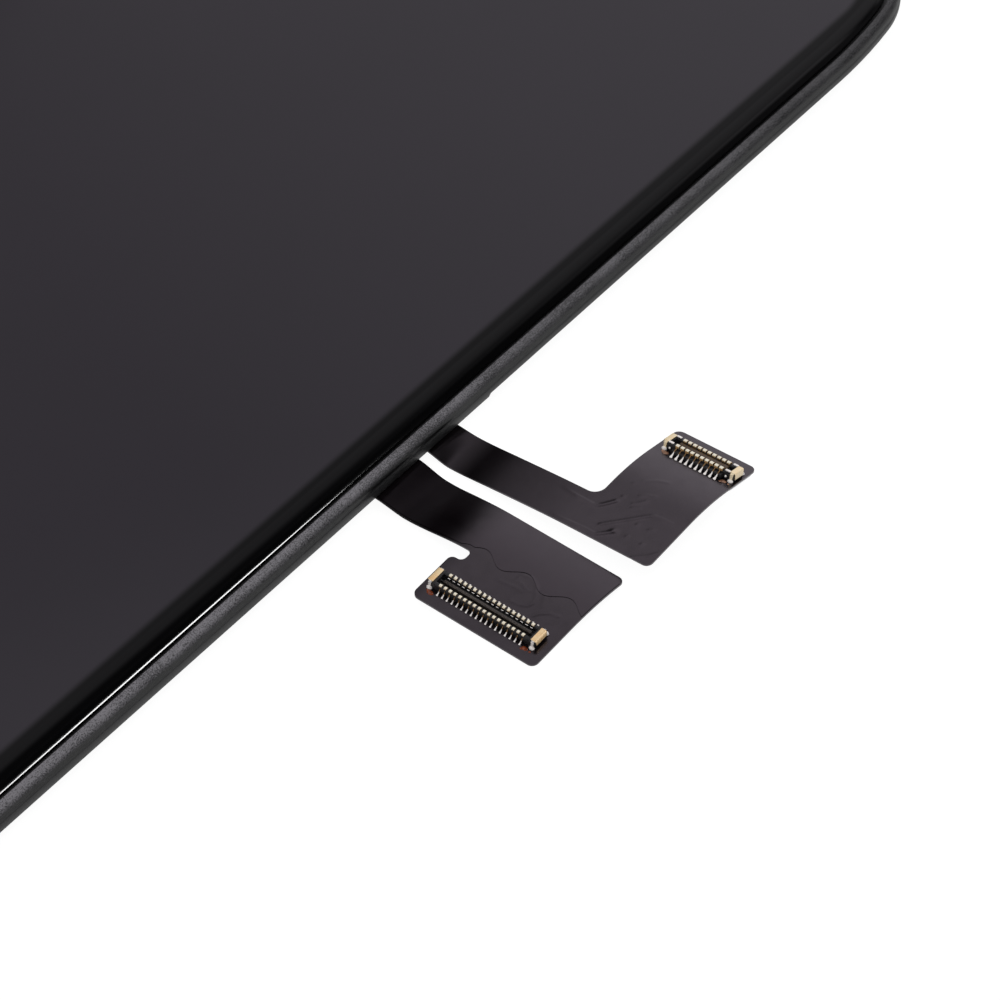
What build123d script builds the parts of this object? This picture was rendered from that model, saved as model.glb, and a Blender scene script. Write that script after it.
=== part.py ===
from build123d import *
from math import ceil, cos, radians, sin
import os

# Display module of a phone, lying face up on its rear foam, with two flex circuits coming out
# from under the right long side. All lengths are in millimetres.
# Origin: centre of the rear face that the module lies on. +X points to the flex circuits,
# +Y to the earpiece end and +Z out of the glass.

os.makedirs("parts", exist_ok=True)

# Bezel frame
frame_width = 68.4
frame_length = 141.2
corner_small = 8.0
corner_large = 40.0
corner_ease = 9.0
frame_bottom = 0.84
frame_step = 0.17
frame_step_y = 21.5
frame_lip = 0.65
frame_ledge = 0.95
lip_radius = 0.36
foot_chamfer = 0.08
groove_height = 0.94
groove_half = 0.10
groove_depth = 0.07

# Cover glass and what is bonded to it
glass_gap = 0.27
glass_thickness = 0.56
glass_proud = 0.29
curve_width = 1.40
curve_drop = 0.30
active_inset = 3.0
mask_thickness = 0.02
mask_inset = 0.15
glue_thickness = 0.03
glue_inset = 0.10
optical_thickness = 0.12
slot_length = 12.0
slot_width = 0.70
slot_from_edge = 1.05
mesh_thickness = 0.20
slot_clearance = 0.02

# Liquid crystal cell
polariser_thickness = 0.10
cell_glass_thickness = 0.20
cell_clearance = 0.40
cell_ledge = 1.00
polariser_margin = 0.25
optical_margin = 0.80
chip_length = 22.0
chip_width = 0.45
chip_height = 0.15
chip_from_filter = 0.08

# Backlight
tape_thickness = 0.06
tape_width = 0.70
prism_thickness = 0.06
diffuser_thickness = 0.05
guide_thickness = 0.35
reflector_thickness = 0.05
sheet_clearance = 0.10
sheet_relief = 0.02
tray_wall = 0.60
pan_thickness = 0.10
pan_clearance = 0.05
led_length = 2.60
led_width = 0.50
led_pitch = 4.00
led_strip_thickness = 0.06
lamp_clearance = 0.40
lamp_margin = 7.0

# Rear plate, its heat film and its foam
plate_thickness = 0.15
plate_gap = 0.20
plate_inner_gap = 0.10
plate_flange = 0.75
graphite_thickness = 0.05
graphite_corner = 3.0
graphite_side_gap = 9.7
graphite_end_gap = 9.6
graphite_window_gap = 3.0
foam_thickness = 0.30
cushion_width = 34.0
cushion_length = 74.0
cushion_corner = 2.0

# Flex circuits: the sheet, the strip that comes out under the frame and the wide end
film_thickness = 0.12
film_hidden = 8.7
film_bonded = 6.8
film_side_gap = 0.80
window_clearance = 1.00
bend_steps = 6
shield_thickness = 0.03
stiffener_thickness = 0.15
stiffener_inset = 0.12
shield_inset = 0.10
wave_length = 3.25
wave_height = 0.66
wave_y = 11.28

# Board-to-board connectors
pin_pitch = 0.35
wall_half = 0.12
wall_height = 0.52
wall_chamfer = 0.05
floor_height = 0.14
ridge_width = 0.08
ridge_height = 0.18
contact_thickness = 0.06
contact_tail = 0.40
contact_inner_drop = 0.28
pad_width = 0.21
leg_width = 0.12
tab_leg = 0.22
tab_tail = 0.30

# Fold of the driver film round the lower edge of the cell
driver_film_width = 26.0
driver_film_thickness = 0.08
driver_film_radius = 0.16
driver_film_gap = 0.20
driver_film_bond = 0.34
driver_film_reach = 8.0
driver_window_clearance = 1.0

# Heights, worked out from the rest face upwards
graphite_bottom = foam_thickness
plate_bottom = graphite_bottom + graphite_thickness
pan_bottom = plate_bottom + plate_thickness
reflector_bottom = pan_bottom + pan_thickness
guide_bottom = reflector_bottom + reflector_thickness
diffuser_bottom = guide_bottom + guide_thickness
lower_prism_bottom = diffuser_bottom + diffuser_thickness
upper_prism_bottom = lower_prism_bottom + prism_thickness
tape_bottom = upper_prism_bottom + prism_thickness + sheet_relief
rear_polariser_bottom = tape_bottom + tape_thickness
array_bottom = rear_polariser_bottom + polariser_thickness
filter_bottom = array_bottom + cell_glass_thickness
front_polariser_bottom = filter_bottom + cell_glass_thickness
optical_bottom = front_polariser_bottom + polariser_thickness
mask_bottom = optical_bottom + optical_thickness
glass_bottom = mask_bottom + mask_thickness
glass_top = glass_bottom + glass_thickness
frame_top = glass_top - glass_proud
ledge_top = mask_bottom - glue_thickness

# Insets of each outline from the outside of the frame
glass_inset = frame_lip + glass_gap
frame_wall = frame_lip + frame_ledge
cell_inset = frame_wall + cell_clearance
plate_inset = frame_wall + plate_gap
pan_inset = plate_inset + plate_thickness + plate_inner_gap
tray_inset = pan_inset + pan_thickness + pan_clearance
sheet_inset = tray_inset + tray_wall + sheet_clearance
slot_y = frame_length / 2 - glass_inset - slot_from_edge
cell_end = frame_length / 2 - cell_inset

# Places along the flex circuits, from the long side of the frame that they leave
side_x = frame_width / 2
film_root = side_x - film_hidden
film_bond = film_root + film_bonded
film_crest_x = side_x + 0.3


class Film:
    """Sheet of one flex circuit: where it lies and how its upper face rises and bends."""

    def __init__(self, near, far, crest, dip_x, dip, lift_x, lift, climb, start_tilt, end_tilt,
                 bend_start, bend_end):
        self.near = near
        self.far = far
        self.crest = crest
        self.dip_x = dip_x
        self.dip = dip
        self.lift_x = lift_x
        self.lift = lift
        self.climb = climb
        self.start_tilt = start_tilt
        self.end_tilt = end_tilt
        self.bend_start = bend_start
        self.bend_end = bend_end

    def tilt(self, y):
        """Slope of the upper face towards +Y."""
        share = min(max((y - self.bend_start) / (self.bend_end - self.bend_start), 0), 1)
        return self.start_tilt + (self.end_tilt - self.start_tilt) * share

    def rise(self, y):
        """Height of the upper face where the wide end starts."""
        middle = min(max(y, self.bend_start), self.bend_end)
        straight = self.start_tilt * (min(y, self.bend_start) - self.near)
        bent = (middle - self.bend_start) * (self.start_tilt + self.tilt(middle)) / 2
        beyond = self.end_tilt * (max(y, self.bend_end) - self.bend_end)
        return self.lift + straight + bent + beyond

    def plane(self, x, y):
        """Plane that lies on the upper face at one place, X along the wide end."""
        height = self.rise(y) + self.climb * (x - self.lift_x)
        return Plane(origin=(x, y, height), x_dir=(1, 0, self.climb),
                     z_dir=(-self.climb, -self.tilt(y), 1))

    def stations(self):
        """Places across the sheet where its section changes."""
        step = (self.bend_end - self.bend_start) / bend_steps
        bends = [self.bend_start + step * index for index in range(bend_steps + 1)]
        return [self.near] + [y for y in bends if self.near < y < self.far] + [self.far]


# Upper face of the display flex: near edge 4 degrees up towards +Y, far edge 12 degrees down
display_film = Film(near=6.47, far=14.94, crest=0.66, dip_x=side_x + 2.2, dip=0.15,
                    lift_x=side_x + 7.6, lift=0.62, climb=0.0, start_tilt=0.065, end_tilt=-0.21,
                    bend_start=9.85, bend_end=14.94)
display_strip_near = 10.99
display_neck = side_x + 6.26
display_tip = side_x + 15.10
display_relief_end = side_x + 7.08
display_relief_width = 0.92
wave_x = side_x + 7.55
display_pins = 18
display_row = 0.457
display_connector_x = side_x + 10.50
display_connector_y = 8.10
display_half_length = 3.84
display_tab_width = 0.40

# Upper face of the touch flex: it climbs to its tip and falls 12 degrees at its far edge
touch_film = Film(near=15.92, far=26.45, crest=0.50, dip_x=side_x + 2.0, dip=0.17,
                  lift_x=side_x + 10.2, lift=1.12, climb=0.05, start_tilt=0.07, end_tilt=-0.22,
                  bend_start=19.75, bend_end=23.60)
touch_strip_far = 18.68
touch_neck = side_x + 10.25
touch_tip = side_x + 15.98
touch_pins = 10
touch_row = 0.379
touch_connector_x = side_x + 13.23
touch_connector_y = 24.81
touch_half_length = 2.52
touch_tab_width = 0.32
touch_arm = 0.32

corner_radius = 0.45
neck_radius = 0.75
relief_radius = 0.36


def save(piece, name):
    """Label a finished piece and write it to its own file."""
    piece.part.label = name
    export_step(piece.part, f"parts/{name}.step")


def quarter_path(inset):
    """Path from the middle of the right side round one eased corner to the middle of the end."""
    side = frame_width / 2 - inset
    end = frame_length / 2 - inset
    ease = cos(radians(corner_ease)) - sin(radians(corner_ease))
    reach = corner_large - inset - (corner_large - corner_small) * ease
    with BuildLine() as path:
        straight = Line((side, 0), (side, end - reach))
        start = JernArc(straight @ 1, straight % 1, corner_large - inset, corner_ease)
        turn = JernArc(start @ 1, start % 1, corner_small - inset, 90 - 2 * corner_ease)
        finish = JernArc(turn @ 1, turn % 1, corner_large - inset, corner_ease)
        Line(finish @ 1, (0, end))
    return path.line


def outline(inset):
    """Face inside the frame's outline, moved inwards by an inset."""
    with BuildSketch() as face:
        with BuildLine():
            add(quarter_path(inset))
            mirror(about=Plane.YZ)
            mirror(about=Plane.XZ)
        make_face()
    return face.sketch


def layer(name, inset, bottom, thickness, hole_inset=None):
    """Make one flat layer inside the frame, or a ring of it."""
    with BuildPart() as sheet:
        with BuildSketch(Plane.XY.offset(bottom)):
            add(outline(inset))
            if hole_inset:
                add(outline(hole_inset), mode=Mode.SUBTRACT)
        extrude(amount=thickness)
    save(sheet, name)


# Bezel frame: one moulded section carried round the module, with a rounded lip, a groove that
# parts the lip from the foot, and a ledge inside that carries the glass
with BuildPart() as bezel_frame:
    with BuildSketch(Plane(origin=(frame_width / 2, 0, 0), x_dir=(1, 0, 0), z_dir=(0, -1, 0))):
        with BuildLine():
            groove_z = frame_bottom + groove_height
            lip_start = frame_top - lip_radius
            side = Polyline((-frame_wall, frame_bottom), (-foot_chamfer, frame_bottom),
                            (0, frame_bottom + foot_chamfer), (0, groove_z - groove_half),
                            (-groove_depth, groove_z), (0, groove_z + groove_half),
                            (0, lip_start))
            lip_round = RadiusArc(side @ 1, (-lip_radius, frame_top), -lip_radius)
            Polyline(lip_round @ 1, (-frame_lip, frame_top), (-frame_lip, ledge_top),
                     (-frame_wall, ledge_top), side @ 0)
        make_face()
    sweep(path=quarter_path(0))
    mirror(about=Plane.YZ)
    mirror(about=Plane.XZ)
    with BuildSketch(Plane.XY.offset(frame_bottom)):
        with Locations((0, (frame_step_y + frame_length) / 2)):
            Rectangle(2 * frame_width, frame_length - frame_step_y)
    extrude(amount=frame_step, mode=Mode.SUBTRACT)
save(bezel_frame, "bezel_frame")

# Tool that rounds the upper edge of the glass down to its side
with BuildPart() as edge_curve:
    with BuildSketch(Plane(origin=(frame_width / 2 - glass_inset, 0, 0), x_dir=(1, 0, 0),
                           z_dir=(0, -1, 0))):
        with BuildLine():
            curve_radius = (curve_width ** 2 + curve_drop ** 2) / (2 * curve_drop)
            fall = RadiusArc((-curve_width, glass_top), (0, glass_top - curve_drop), curve_radius)
            Polyline(fall @ 1, (curve_width, glass_top - curve_drop),
                     (curve_width, glass_top + curve_drop), (-curve_width, glass_top + curve_drop),
                     fall @ 0)
        make_face()
    sweep(path=quarter_path(glass_inset))
    mirror(about=Plane.YZ)
    mirror(about=Plane.XZ)

with BuildPart() as cover_glass:
    with BuildSketch(Plane.XY.offset(glass_bottom)):
        add(outline(glass_inset))
        with Locations((0, slot_y)):
            SlotOverall(slot_length, slot_width, mode=Mode.SUBTRACT)
    extrude(amount=glass_thickness)
    add(edge_curve.part, mode=Mode.SUBTRACT)
save(cover_glass, "cover_glass")

with BuildPart() as border_mask:
    with BuildSketch(Plane.XY.offset(mask_bottom)):
        add(outline(glass_inset + mask_inset))
        add(outline(active_inset), mode=Mode.SUBTRACT)
        with Locations((0, slot_y)):
            SlotOverall(slot_length, slot_width, mode=Mode.SUBTRACT)
    extrude(amount=mask_thickness)
save(border_mask, "border_mask")

with BuildPart() as earpiece_mesh:
    with BuildSketch(Plane.XY.offset(glass_bottom)):
        with Locations((0, slot_y)):
            SlotOverall(slot_length - 2 * slot_clearance, slot_width - 2 * slot_clearance)
    extrude(amount=mesh_thickness)
save(earpiece_mesh, "earpiece_mesh")

layer("frame_adhesive", glass_inset + glue_inset, ledge_top, glue_thickness,
      hole_inset=frame_wall - glue_inset)
layer("optical_adhesive", active_inset - optical_margin, optical_bottom, optical_thickness)
layer("front_polariser", active_inset - polariser_margin, front_polariser_bottom,
      polariser_thickness)

# Cell: the filter glass stops short of the lower end, where the driver chip sits on the ledge
with BuildPart() as colour_filter_glass:
    with BuildSketch(Plane.XY.offset(filter_bottom)):
        add(outline(cell_inset))
        with Locations((0, -cell_end)):
            Rectangle(frame_width, 2 * cell_ledge, mode=Mode.SUBTRACT)
    extrude(amount=cell_glass_thickness)
save(colour_filter_glass, "colour_filter_glass")

layer("array_glass", cell_inset, array_bottom, cell_glass_thickness)
layer("rear_polariser", active_inset - polariser_margin, rear_polariser_bottom,
      polariser_thickness)

with BuildPart() as driver_chip:
    with BuildSketch(Plane.XY.offset(filter_bottom)):
        with Locations((0, -cell_end + cell_ledge - chip_from_filter - chip_width / 2)):
            Rectangle(chip_length, chip_width)
    extrude(amount=chip_height)
save(driver_chip, "driver_chip")

# Backlight: film stack and light guide in a white tray, lamps along its lower bar
layer("rim_tape", tray_inset, tape_bottom, tape_thickness, hole_inset=tray_inset + tape_width)
layer("upper_prism_sheet", sheet_inset, upper_prism_bottom, prism_thickness)
layer("lower_prism_sheet", sheet_inset, lower_prism_bottom, prism_thickness)
layer("diffuser_sheet", sheet_inset, diffuser_bottom, diffuser_thickness)
layer("light_guide_plate", sheet_inset, guide_bottom, guide_thickness)
layer("reflector_sheet", sheet_inset, reflector_bottom, reflector_thickness)

lamp_y = -frame_length / 2 + tray_inset + tray_wall / 2
led_count = int((frame_width - 2 * (tray_inset + lamp_margin)) / led_pitch)
lamp_bay = led_pitch * (led_count - 1) + led_length + 2 * lamp_clearance
with BuildPart() as backlight_tray:
    with BuildSketch(Plane.XY.offset(reflector_bottom)):
        add(outline(tray_inset))
        add(outline(tray_inset + tray_wall), mode=Mode.SUBTRACT)
        with Locations((0, lamp_y)):
            Rectangle(lamp_bay, 2 * tray_wall, mode=Mode.SUBTRACT)
    extrude(amount=tape_bottom - reflector_bottom)
save(backlight_tray, "backlight_tray")

with BuildPart() as backlight_leds:
    with BuildSketch(Plane.XY.offset(reflector_bottom)):
        with Locations((0, lamp_y)):
            with GridLocations(led_pitch, 1, led_count, 1):
                Rectangle(led_length, led_width)
    extrude(amount=diffuser_bottom - reflector_bottom)
save(backlight_leds, "backlight_leds")

with BuildPart() as led_strip:
    with BuildSketch(Plane.XY.offset(diffuser_bottom)):
        with Locations((0, lamp_y)):
            Rectangle(lamp_bay - 2 * lamp_clearance, led_width)
    extrude(amount=led_strip_thickness)
save(led_strip, "led_strip")

with BuildPart() as backlight_pan:
    with BuildSketch(Plane.XY.offset(pan_bottom)):
        add(outline(pan_inset))
    extrude(amount=tape_bottom - pan_bottom)
    with BuildSketch(Plane.XY.offset(reflector_bottom)):
        add(outline(pan_inset + pan_thickness))
    extrude(amount=tape_bottom - reflector_bottom, mode=Mode.SUBTRACT)
save(backlight_pan, "backlight_pan")

# Rear plate: a pressed steel tray whose low flange stands inside the frame, with one window
# where the flex circuits leave and one where the driver film turns under
window_near = display_strip_near - film_side_gap
window_far = touch_strip_far + film_side_gap
window_left = film_root - window_clearance
with BuildPart() as rear_plate:
    with BuildSketch(Plane.XY.offset(plate_bottom)):
        add(outline(plate_inset))
    extrude(amount=plate_flange)
    chamfer(rear_plate.faces().sort_by(Axis.Z)[0].edges(), plate_thickness)
    with BuildSketch(Plane.XY.offset(pan_bottom)):
        add(outline(plate_inset + plate_thickness))
    extrude(amount=plate_flange, mode=Mode.SUBTRACT)
    with BuildSketch(Plane.XY.offset(plate_bottom)):
        with Locations(((window_left + frame_width / 2) / 2, (window_near + window_far) / 2)):
            Rectangle(frame_width / 2 - window_left, window_far - window_near)
        with Locations((0, -cell_end)):
            Rectangle(driver_film_width + 2 * driver_window_clearance,
                      2 * (driver_film_reach + driver_window_clearance))
    extrude(amount=plate_flange, mode=Mode.SUBTRACT)
save(rear_plate, "rear_plate")

graphite_left = graphite_side_gap - side_x
graphite_right = window_left - graphite_window_gap
with BuildPart() as graphite_sheet:
    with BuildSketch(Plane.XY.offset(graphite_bottom)):
        with Locations(((graphite_left + graphite_right) / 2, 0)):
            RectangleRounded(graphite_right - graphite_left, frame_length - 2 * graphite_end_gap,
                             graphite_corner)
    extrude(amount=graphite_thickness)
save(graphite_sheet, "graphite_sheet")

with BuildPart() as rear_cushion:
    with BuildSketch():
        RectangleRounded(cushion_width, cushion_length, cushion_corner)
    extrude(amount=foam_thickness)
save(rear_cushion, "rear_cushion")

# Driver film: bonded to the ledge of the array glass, folded round its edge and laid back
# under the backlight
with BuildPart() as driver_film:
    with BuildSketch(Plane.YZ.offset(-driver_film_width / 2)):
        with BuildLine():
            fold_y = -cell_end - driver_film_gap
            bond_z = filter_bottom + driver_film_thickness / 2
            tail_z = pan_bottom - driver_film_thickness / 2
            FilletPolyline((-cell_end + driver_film_bond, bond_z), (fold_y, bond_z),
                           (fold_y, tail_z), (-cell_end + driver_film_reach, tail_z),
                           radius=driver_film_radius)
        trace(line_width=driver_film_thickness)
    extrude(amount=driver_film_width)
save(driver_film, "driver_film")


def film_section(film, tip, y, bottom, top):
    """Draw the section of a sheet at one place across it, from one depth to another."""
    rise = film.rise(y)
    with BuildSketch(Plane.XZ.offset(-y)) as section:
        with BuildLine():
            edges = []
            for depth in (bottom, top):
                bond = Line((film_root, pan_bottom + depth), (film_bond, pan_bottom + depth))
                curve = Spline((film_bond, pan_bottom + depth), (film_crest_x, film.crest + depth),
                               (film.dip_x, film.dip + depth), (film.lift_x, rise + depth),
                               tangents=((1, 0), (1, film.climb)))
                end = Line((film.lift_x, rise + depth),
                           (tip, rise + film.climb * (tip - film.lift_x) + depth))
                edges.append((bond, curve, end))
            Line(edges[0][0] @ 0, edges[1][0] @ 0)
            Line(edges[0][2] @ 1, edges[1][2] @ 1)
        make_face()
    return section.sketch


def film_solid(film, tip, bottom, top):
    """Join the sections of a sheet into one bent band, still without its outline."""
    with BuildPart() as band:
        loft(sections=[film_section(film, tip, y, bottom, top) for y in film.stations()],
             ruled=True)
    return band.part


with BuildSketch() as display_outline:
    with BuildLine():
        relief_near = display_strip_near - display_relief_width
        FilletPolyline((film_root, display_film.far), (display_tip, display_film.far),
                       (display_tip, display_film.near), (display_neck, display_film.near),
                       (display_neck, relief_near), (display_relief_end, relief_near),
                       (display_relief_end, display_strip_near), (film_root, display_strip_near),
                       radius=(corner_radius, corner_radius, corner_radius, corner_radius,
                               relief_radius, relief_radius, relief_radius, corner_radius),
                       close=True)
    make_face()

with BuildPart() as display_flex:
    add(film_solid(display_film, display_tip, -film_thickness, 0))
    extrude(display_outline.sketch, amount=glass_top, mode=Mode.INTERSECT)
save(display_flex, "display_flex")

# Shield film on the display flex: it covers the strip and the far half of the wide end, and
# its free edge there runs in even waves
with BuildSketch() as shield_outline:
    with BuildLine():
        turns = ceil(2 * (display_tip - wave_x) / wave_length) + 1
        wave = Spline([(wave_x + turn * wave_length / 2, wave_y + (-1) ** turn * wave_height / 2)
                       for turn in range(turns)], tangents=((1, 0), (1, 0)))
        wave_end = wave_x + (turns - 1) * wave_length / 2
        Polyline(wave @ 1, (wave_end, display_film.far - shield_inset),
                 (film_bond, display_film.far - shield_inset),
                 (film_bond, display_strip_near + shield_inset),
                 (display_relief_end, display_strip_near + shield_inset), wave @ 0)
    make_face()

with BuildPart() as display_shield:
    add(film_solid(display_film, display_tip, 0, shield_thickness))
    extrude(shield_outline.sketch, amount=glass_top, mode=Mode.INTERSECT)
    extrude(display_outline.sketch, amount=glass_top, mode=Mode.INTERSECT)
save(display_shield, "display_shield")

with BuildSketch() as touch_outline:
    with BuildLine():
        FilletPolyline((film_root, touch_film.near), (touch_tip, touch_film.near),
                       (touch_tip, touch_film.far), (touch_neck, touch_film.far),
                       (touch_neck, touch_strip_far), (film_root, touch_strip_far),
                       radius=(corner_radius, corner_radius, corner_radius, corner_radius,
                               neck_radius, corner_radius), close=True)
    make_face()

with BuildPart() as touch_flex:
    add(film_solid(touch_film, touch_tip, -film_thickness, 0))
    extrude(touch_outline.sketch, amount=glass_top, mode=Mode.INTERSECT)
save(touch_flex, "touch_flex")


def stiffener(name, film, tip, low_x, low_y, high_y):
    """Make the stiff plate under the flat part of a wide end."""
    high_x = tip - stiffener_inset
    with BuildPart() as plate:
        add(film_solid(film, tip, -film_thickness - stiffener_thickness, -film_thickness))
        with BuildSketch():
            with Locations(((low_x + high_x) / 2, (low_y + high_y) / 2)):
                RectangleRounded(high_x - low_x, high_y - low_y, corner_radius)
        extrude(amount=glass_top, mode=Mode.INTERSECT)
    save(plate, f"{name}_stiffener")


stiffener("display", display_film, display_tip, display_film.lift_x,
          display_film.near + stiffener_inset, display_film.bend_start)
stiffener("touch", touch_film, touch_tip, touch_neck + stiffener_inset,
          touch_film.bend_end, touch_film.far - stiffener_inset)


def connector(name, plane, pins, row, half_length, tab_width, arm):
    """Make the housing, contacts and hold-down tabs of one low board-to-board connector."""
    row_half = (pins - 1) * pin_pitch / 2
    wall_outer = row + wall_half
    wall_inner = row - wall_half
    channel_half = half_length - tab_width - wall_chamfer
    side = Plane(plane * Plane.YZ)

    with BuildPart() as housing:
        with BuildSketch(side.offset(-half_length)):
            with BuildLine():
                half = Polyline((0, 0), (wall_outer, 0), (wall_outer, wall_height - wall_chamfer),
                                (wall_outer - wall_chamfer, wall_height),
                                (wall_inner + wall_chamfer, wall_height),
                                (wall_inner, wall_height - wall_chamfer),
                                (wall_inner, floor_height), (ridge_width / 2, floor_height),
                                (ridge_width / 2, floor_height + ridge_height),
                                (0, floor_height + ridge_height))
                mirror(half, about=Plane.YZ)
            make_face()
        extrude(amount=2 * half_length)
        for end in (-1, 1):
            with BuildSketch(plane.offset(floor_height)):
                with Locations((end * (half_length + channel_half) / 2, 0)):
                    Rectangle(half_length - channel_half, 2 * wall_outer)
            extrude(amount=wall_height - floor_height)
    save(housing, f"{name}_connector_housing")

    with BuildPart() as contacts:
        bend = contact_thickness / 2
        for pin in range(pins):
            x = pin * pin_pitch - row_half
            for width, points in (
                    (leg_width, ((wall_outer + contact_tail, bend), (wall_outer + bend, bend),
                                 (wall_outer + bend, wall_height + bend),
                                 (wall_inner, wall_height + bend))),
                    (pad_width, ((wall_outer, wall_height + bend),
                                 (wall_inner - bend, wall_height + bend),
                                 (wall_inner - bend, wall_height - contact_inner_drop)))):
                with BuildSketch(side.offset(x - width / 2)):
                    with BuildLine():
                        strip = Polyline(*points)
                    trace(strip, line_width=contact_thickness)
                    mirror(about=Plane.YZ)
                extrude(amount=width)
    save(contacts, f"{name}_contacts")

    with BuildPart() as tabs:
        outer = half_length + contact_thickness
        for end in (-1, 1):
            with BuildSketch(plane.offset(wall_height)):
                with Locations((end * (outer - (tab_width + contact_thickness) / 2), 0)):
                    Rectangle(tab_width + contact_thickness, 2 * wall_outer)
                if arm:
                    arm_x = end * (half_length - tab_width - arm / 2)
                    with Locations((arm_x, row), (arm_x, -row)):
                        Rectangle(arm, wall_outer - wall_inner)
            extrude(amount=contact_thickness)
            with BuildSketch(plane.offset(floor_height)):
                with Locations((end * (half_length + contact_thickness / 2), 0)):
                    Rectangle(contact_thickness, 2 * wall_inner)
            extrude(amount=wall_height - floor_height)
            with BuildSketch(side.offset(end * (half_length - tab_width / 2) - tab_leg / 2)):
                with BuildLine():
                    leg = Polyline((wall_outer + tab_tail, contact_thickness / 2),
                                   (wall_outer + contact_thickness / 2, contact_thickness / 2),
                                   (wall_outer + contact_thickness / 2,
                                    wall_height + contact_thickness / 2),
                                   (wall_inner, wall_height + contact_thickness / 2))
                trace(leg, line_width=contact_thickness)
                mirror(about=Plane.YZ)
            extrude(amount=tab_leg)
    save(tabs, f"{name}_hold_downs")


connector("display", display_film.plane(display_connector_x, display_connector_y),
          display_pins, display_row, display_half_length, display_tab_width, 0)
connector("touch", touch_film.plane(touch_connector_x, touch_connector_y),
          touch_pins, touch_row, touch_half_length, touch_tab_width, touch_arm)
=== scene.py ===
"""Phone display module lying face up: dark cover glass in a bezel frame, with two flex circuits."""
import logging
import math
from dataclasses import dataclass, field
from enum import Enum
from typing import Callable, Sequence

import bmesh
import bpy
import numpy as np
from mathutils import Matrix, Vector
from mathutils.kdtree import KDTree


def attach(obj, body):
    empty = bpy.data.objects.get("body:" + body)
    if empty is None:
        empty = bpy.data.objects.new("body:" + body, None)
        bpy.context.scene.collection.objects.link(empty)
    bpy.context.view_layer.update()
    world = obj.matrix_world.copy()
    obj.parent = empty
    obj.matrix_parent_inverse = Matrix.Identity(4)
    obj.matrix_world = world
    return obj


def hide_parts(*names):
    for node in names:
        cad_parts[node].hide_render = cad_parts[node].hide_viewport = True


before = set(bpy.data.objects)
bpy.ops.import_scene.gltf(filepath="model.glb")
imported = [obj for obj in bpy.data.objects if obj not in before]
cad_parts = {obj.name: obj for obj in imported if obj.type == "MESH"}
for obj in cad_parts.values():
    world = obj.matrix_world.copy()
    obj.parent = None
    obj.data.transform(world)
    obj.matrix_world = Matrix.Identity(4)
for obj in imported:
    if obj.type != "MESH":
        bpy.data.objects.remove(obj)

logging.basicConfig(level=logging.INFO, format="%(message)s")
log = logging.getLogger("display_module")

MM = 0.001
# Sharpest turn that is shaded smooth on a rounded piece, in degrees
CREASE = 40.0
# How far either side of its middle a noise pattern is used
NARROW, WIDE = 0.15, 0.20
# Blender's name of a ramp that is eased at both ends
SMOOTH = "SMOOTHSTEP"
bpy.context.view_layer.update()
Flat = tuple[float, float]
Colour = tuple[float, float, float]
Point = tuple[float, float, float]
# Both ends of a range, and the results at them
Band = tuple[float, float, float, float]
Socket = bpy.types.NodeSocket
Material = bpy.types.Material
Piece = bpy.types.Object


class Sheen(Enum):
    """How tight the reflection on a finish is, as the roughness of its surface."""

    POLISHED = 0.04
    GLOSS = 0.14
    SATIN = 0.34
    EGGSHELL = 0.48
    MATTE = 0.66

    def span(self, share: float) -> Flat:
        """Roughness that share below and above the sheen's own."""
        return self.value * (1 - share), min(self.value * (1 + share), 1.0)


class Nodes:
    """Node tree with short calls that add and join its nodes."""

    def __init__(self, tree: bpy.types.NodeTree) -> None:
        """Take over a tree and empty it."""
        self.tree = tree
        self.tree.nodes.clear()

    def put(self, value: object, target: Socket) -> None:
        """Set an input to a number or a colour, or join it where the value is an output.

        Args:
            value: Number, colour or output.
            target: The input.
        """
        if isinstance(value, Socket):
            self.tree.links.new(value, target)
        else:
            target.default_value = value

    def node(self, kind: str, inputs: dict[int | str, object] | None = None,
             **settings: object) -> bpy.types.NodeOutputs:
        """Add one node.

        Args:
            kind: Blender's name of the node type, without "ShaderNode" in front.
            inputs: Numbers, colours or outputs, by the place or the name of the input they go to.
            **settings: Properties of the node.

        Returns:
            The node's outputs.
        """
        node = self.tree.nodes.new(f"ShaderNode{kind}")
        for name, value in settings.items():
            setattr(node, name, value)
        for key, value in (inputs or {}).items():
            self.put(value, node.inputs[key])
        return node.outputs

    def maths(self, operation: str, *values: object) -> Socket:
        """Work out one number from numbers or outputs, by Blender's name of the operation."""
        return self.node("Math", dict(enumerate(values)), operation=operation)[0]

    def ramp(self, value: Socket, low: float, high: float, start: float, end: float,
             ease: str = "LINEAR") -> Socket:
        """Carry a value over, so that low becomes start and high becomes end."""
        numbers = dict(enumerate((value, low, high, start, end)))
        return self.node("MapRange", numbers, interpolation_type=ease)["Result"]

    def axes(self, source: Socket) -> bpy.types.NodeOutputs:
        """Split a place or a direction into outputs called "X", "Y" and "Z"."""
        return self.node("SeparateXYZ", {0: source})


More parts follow.
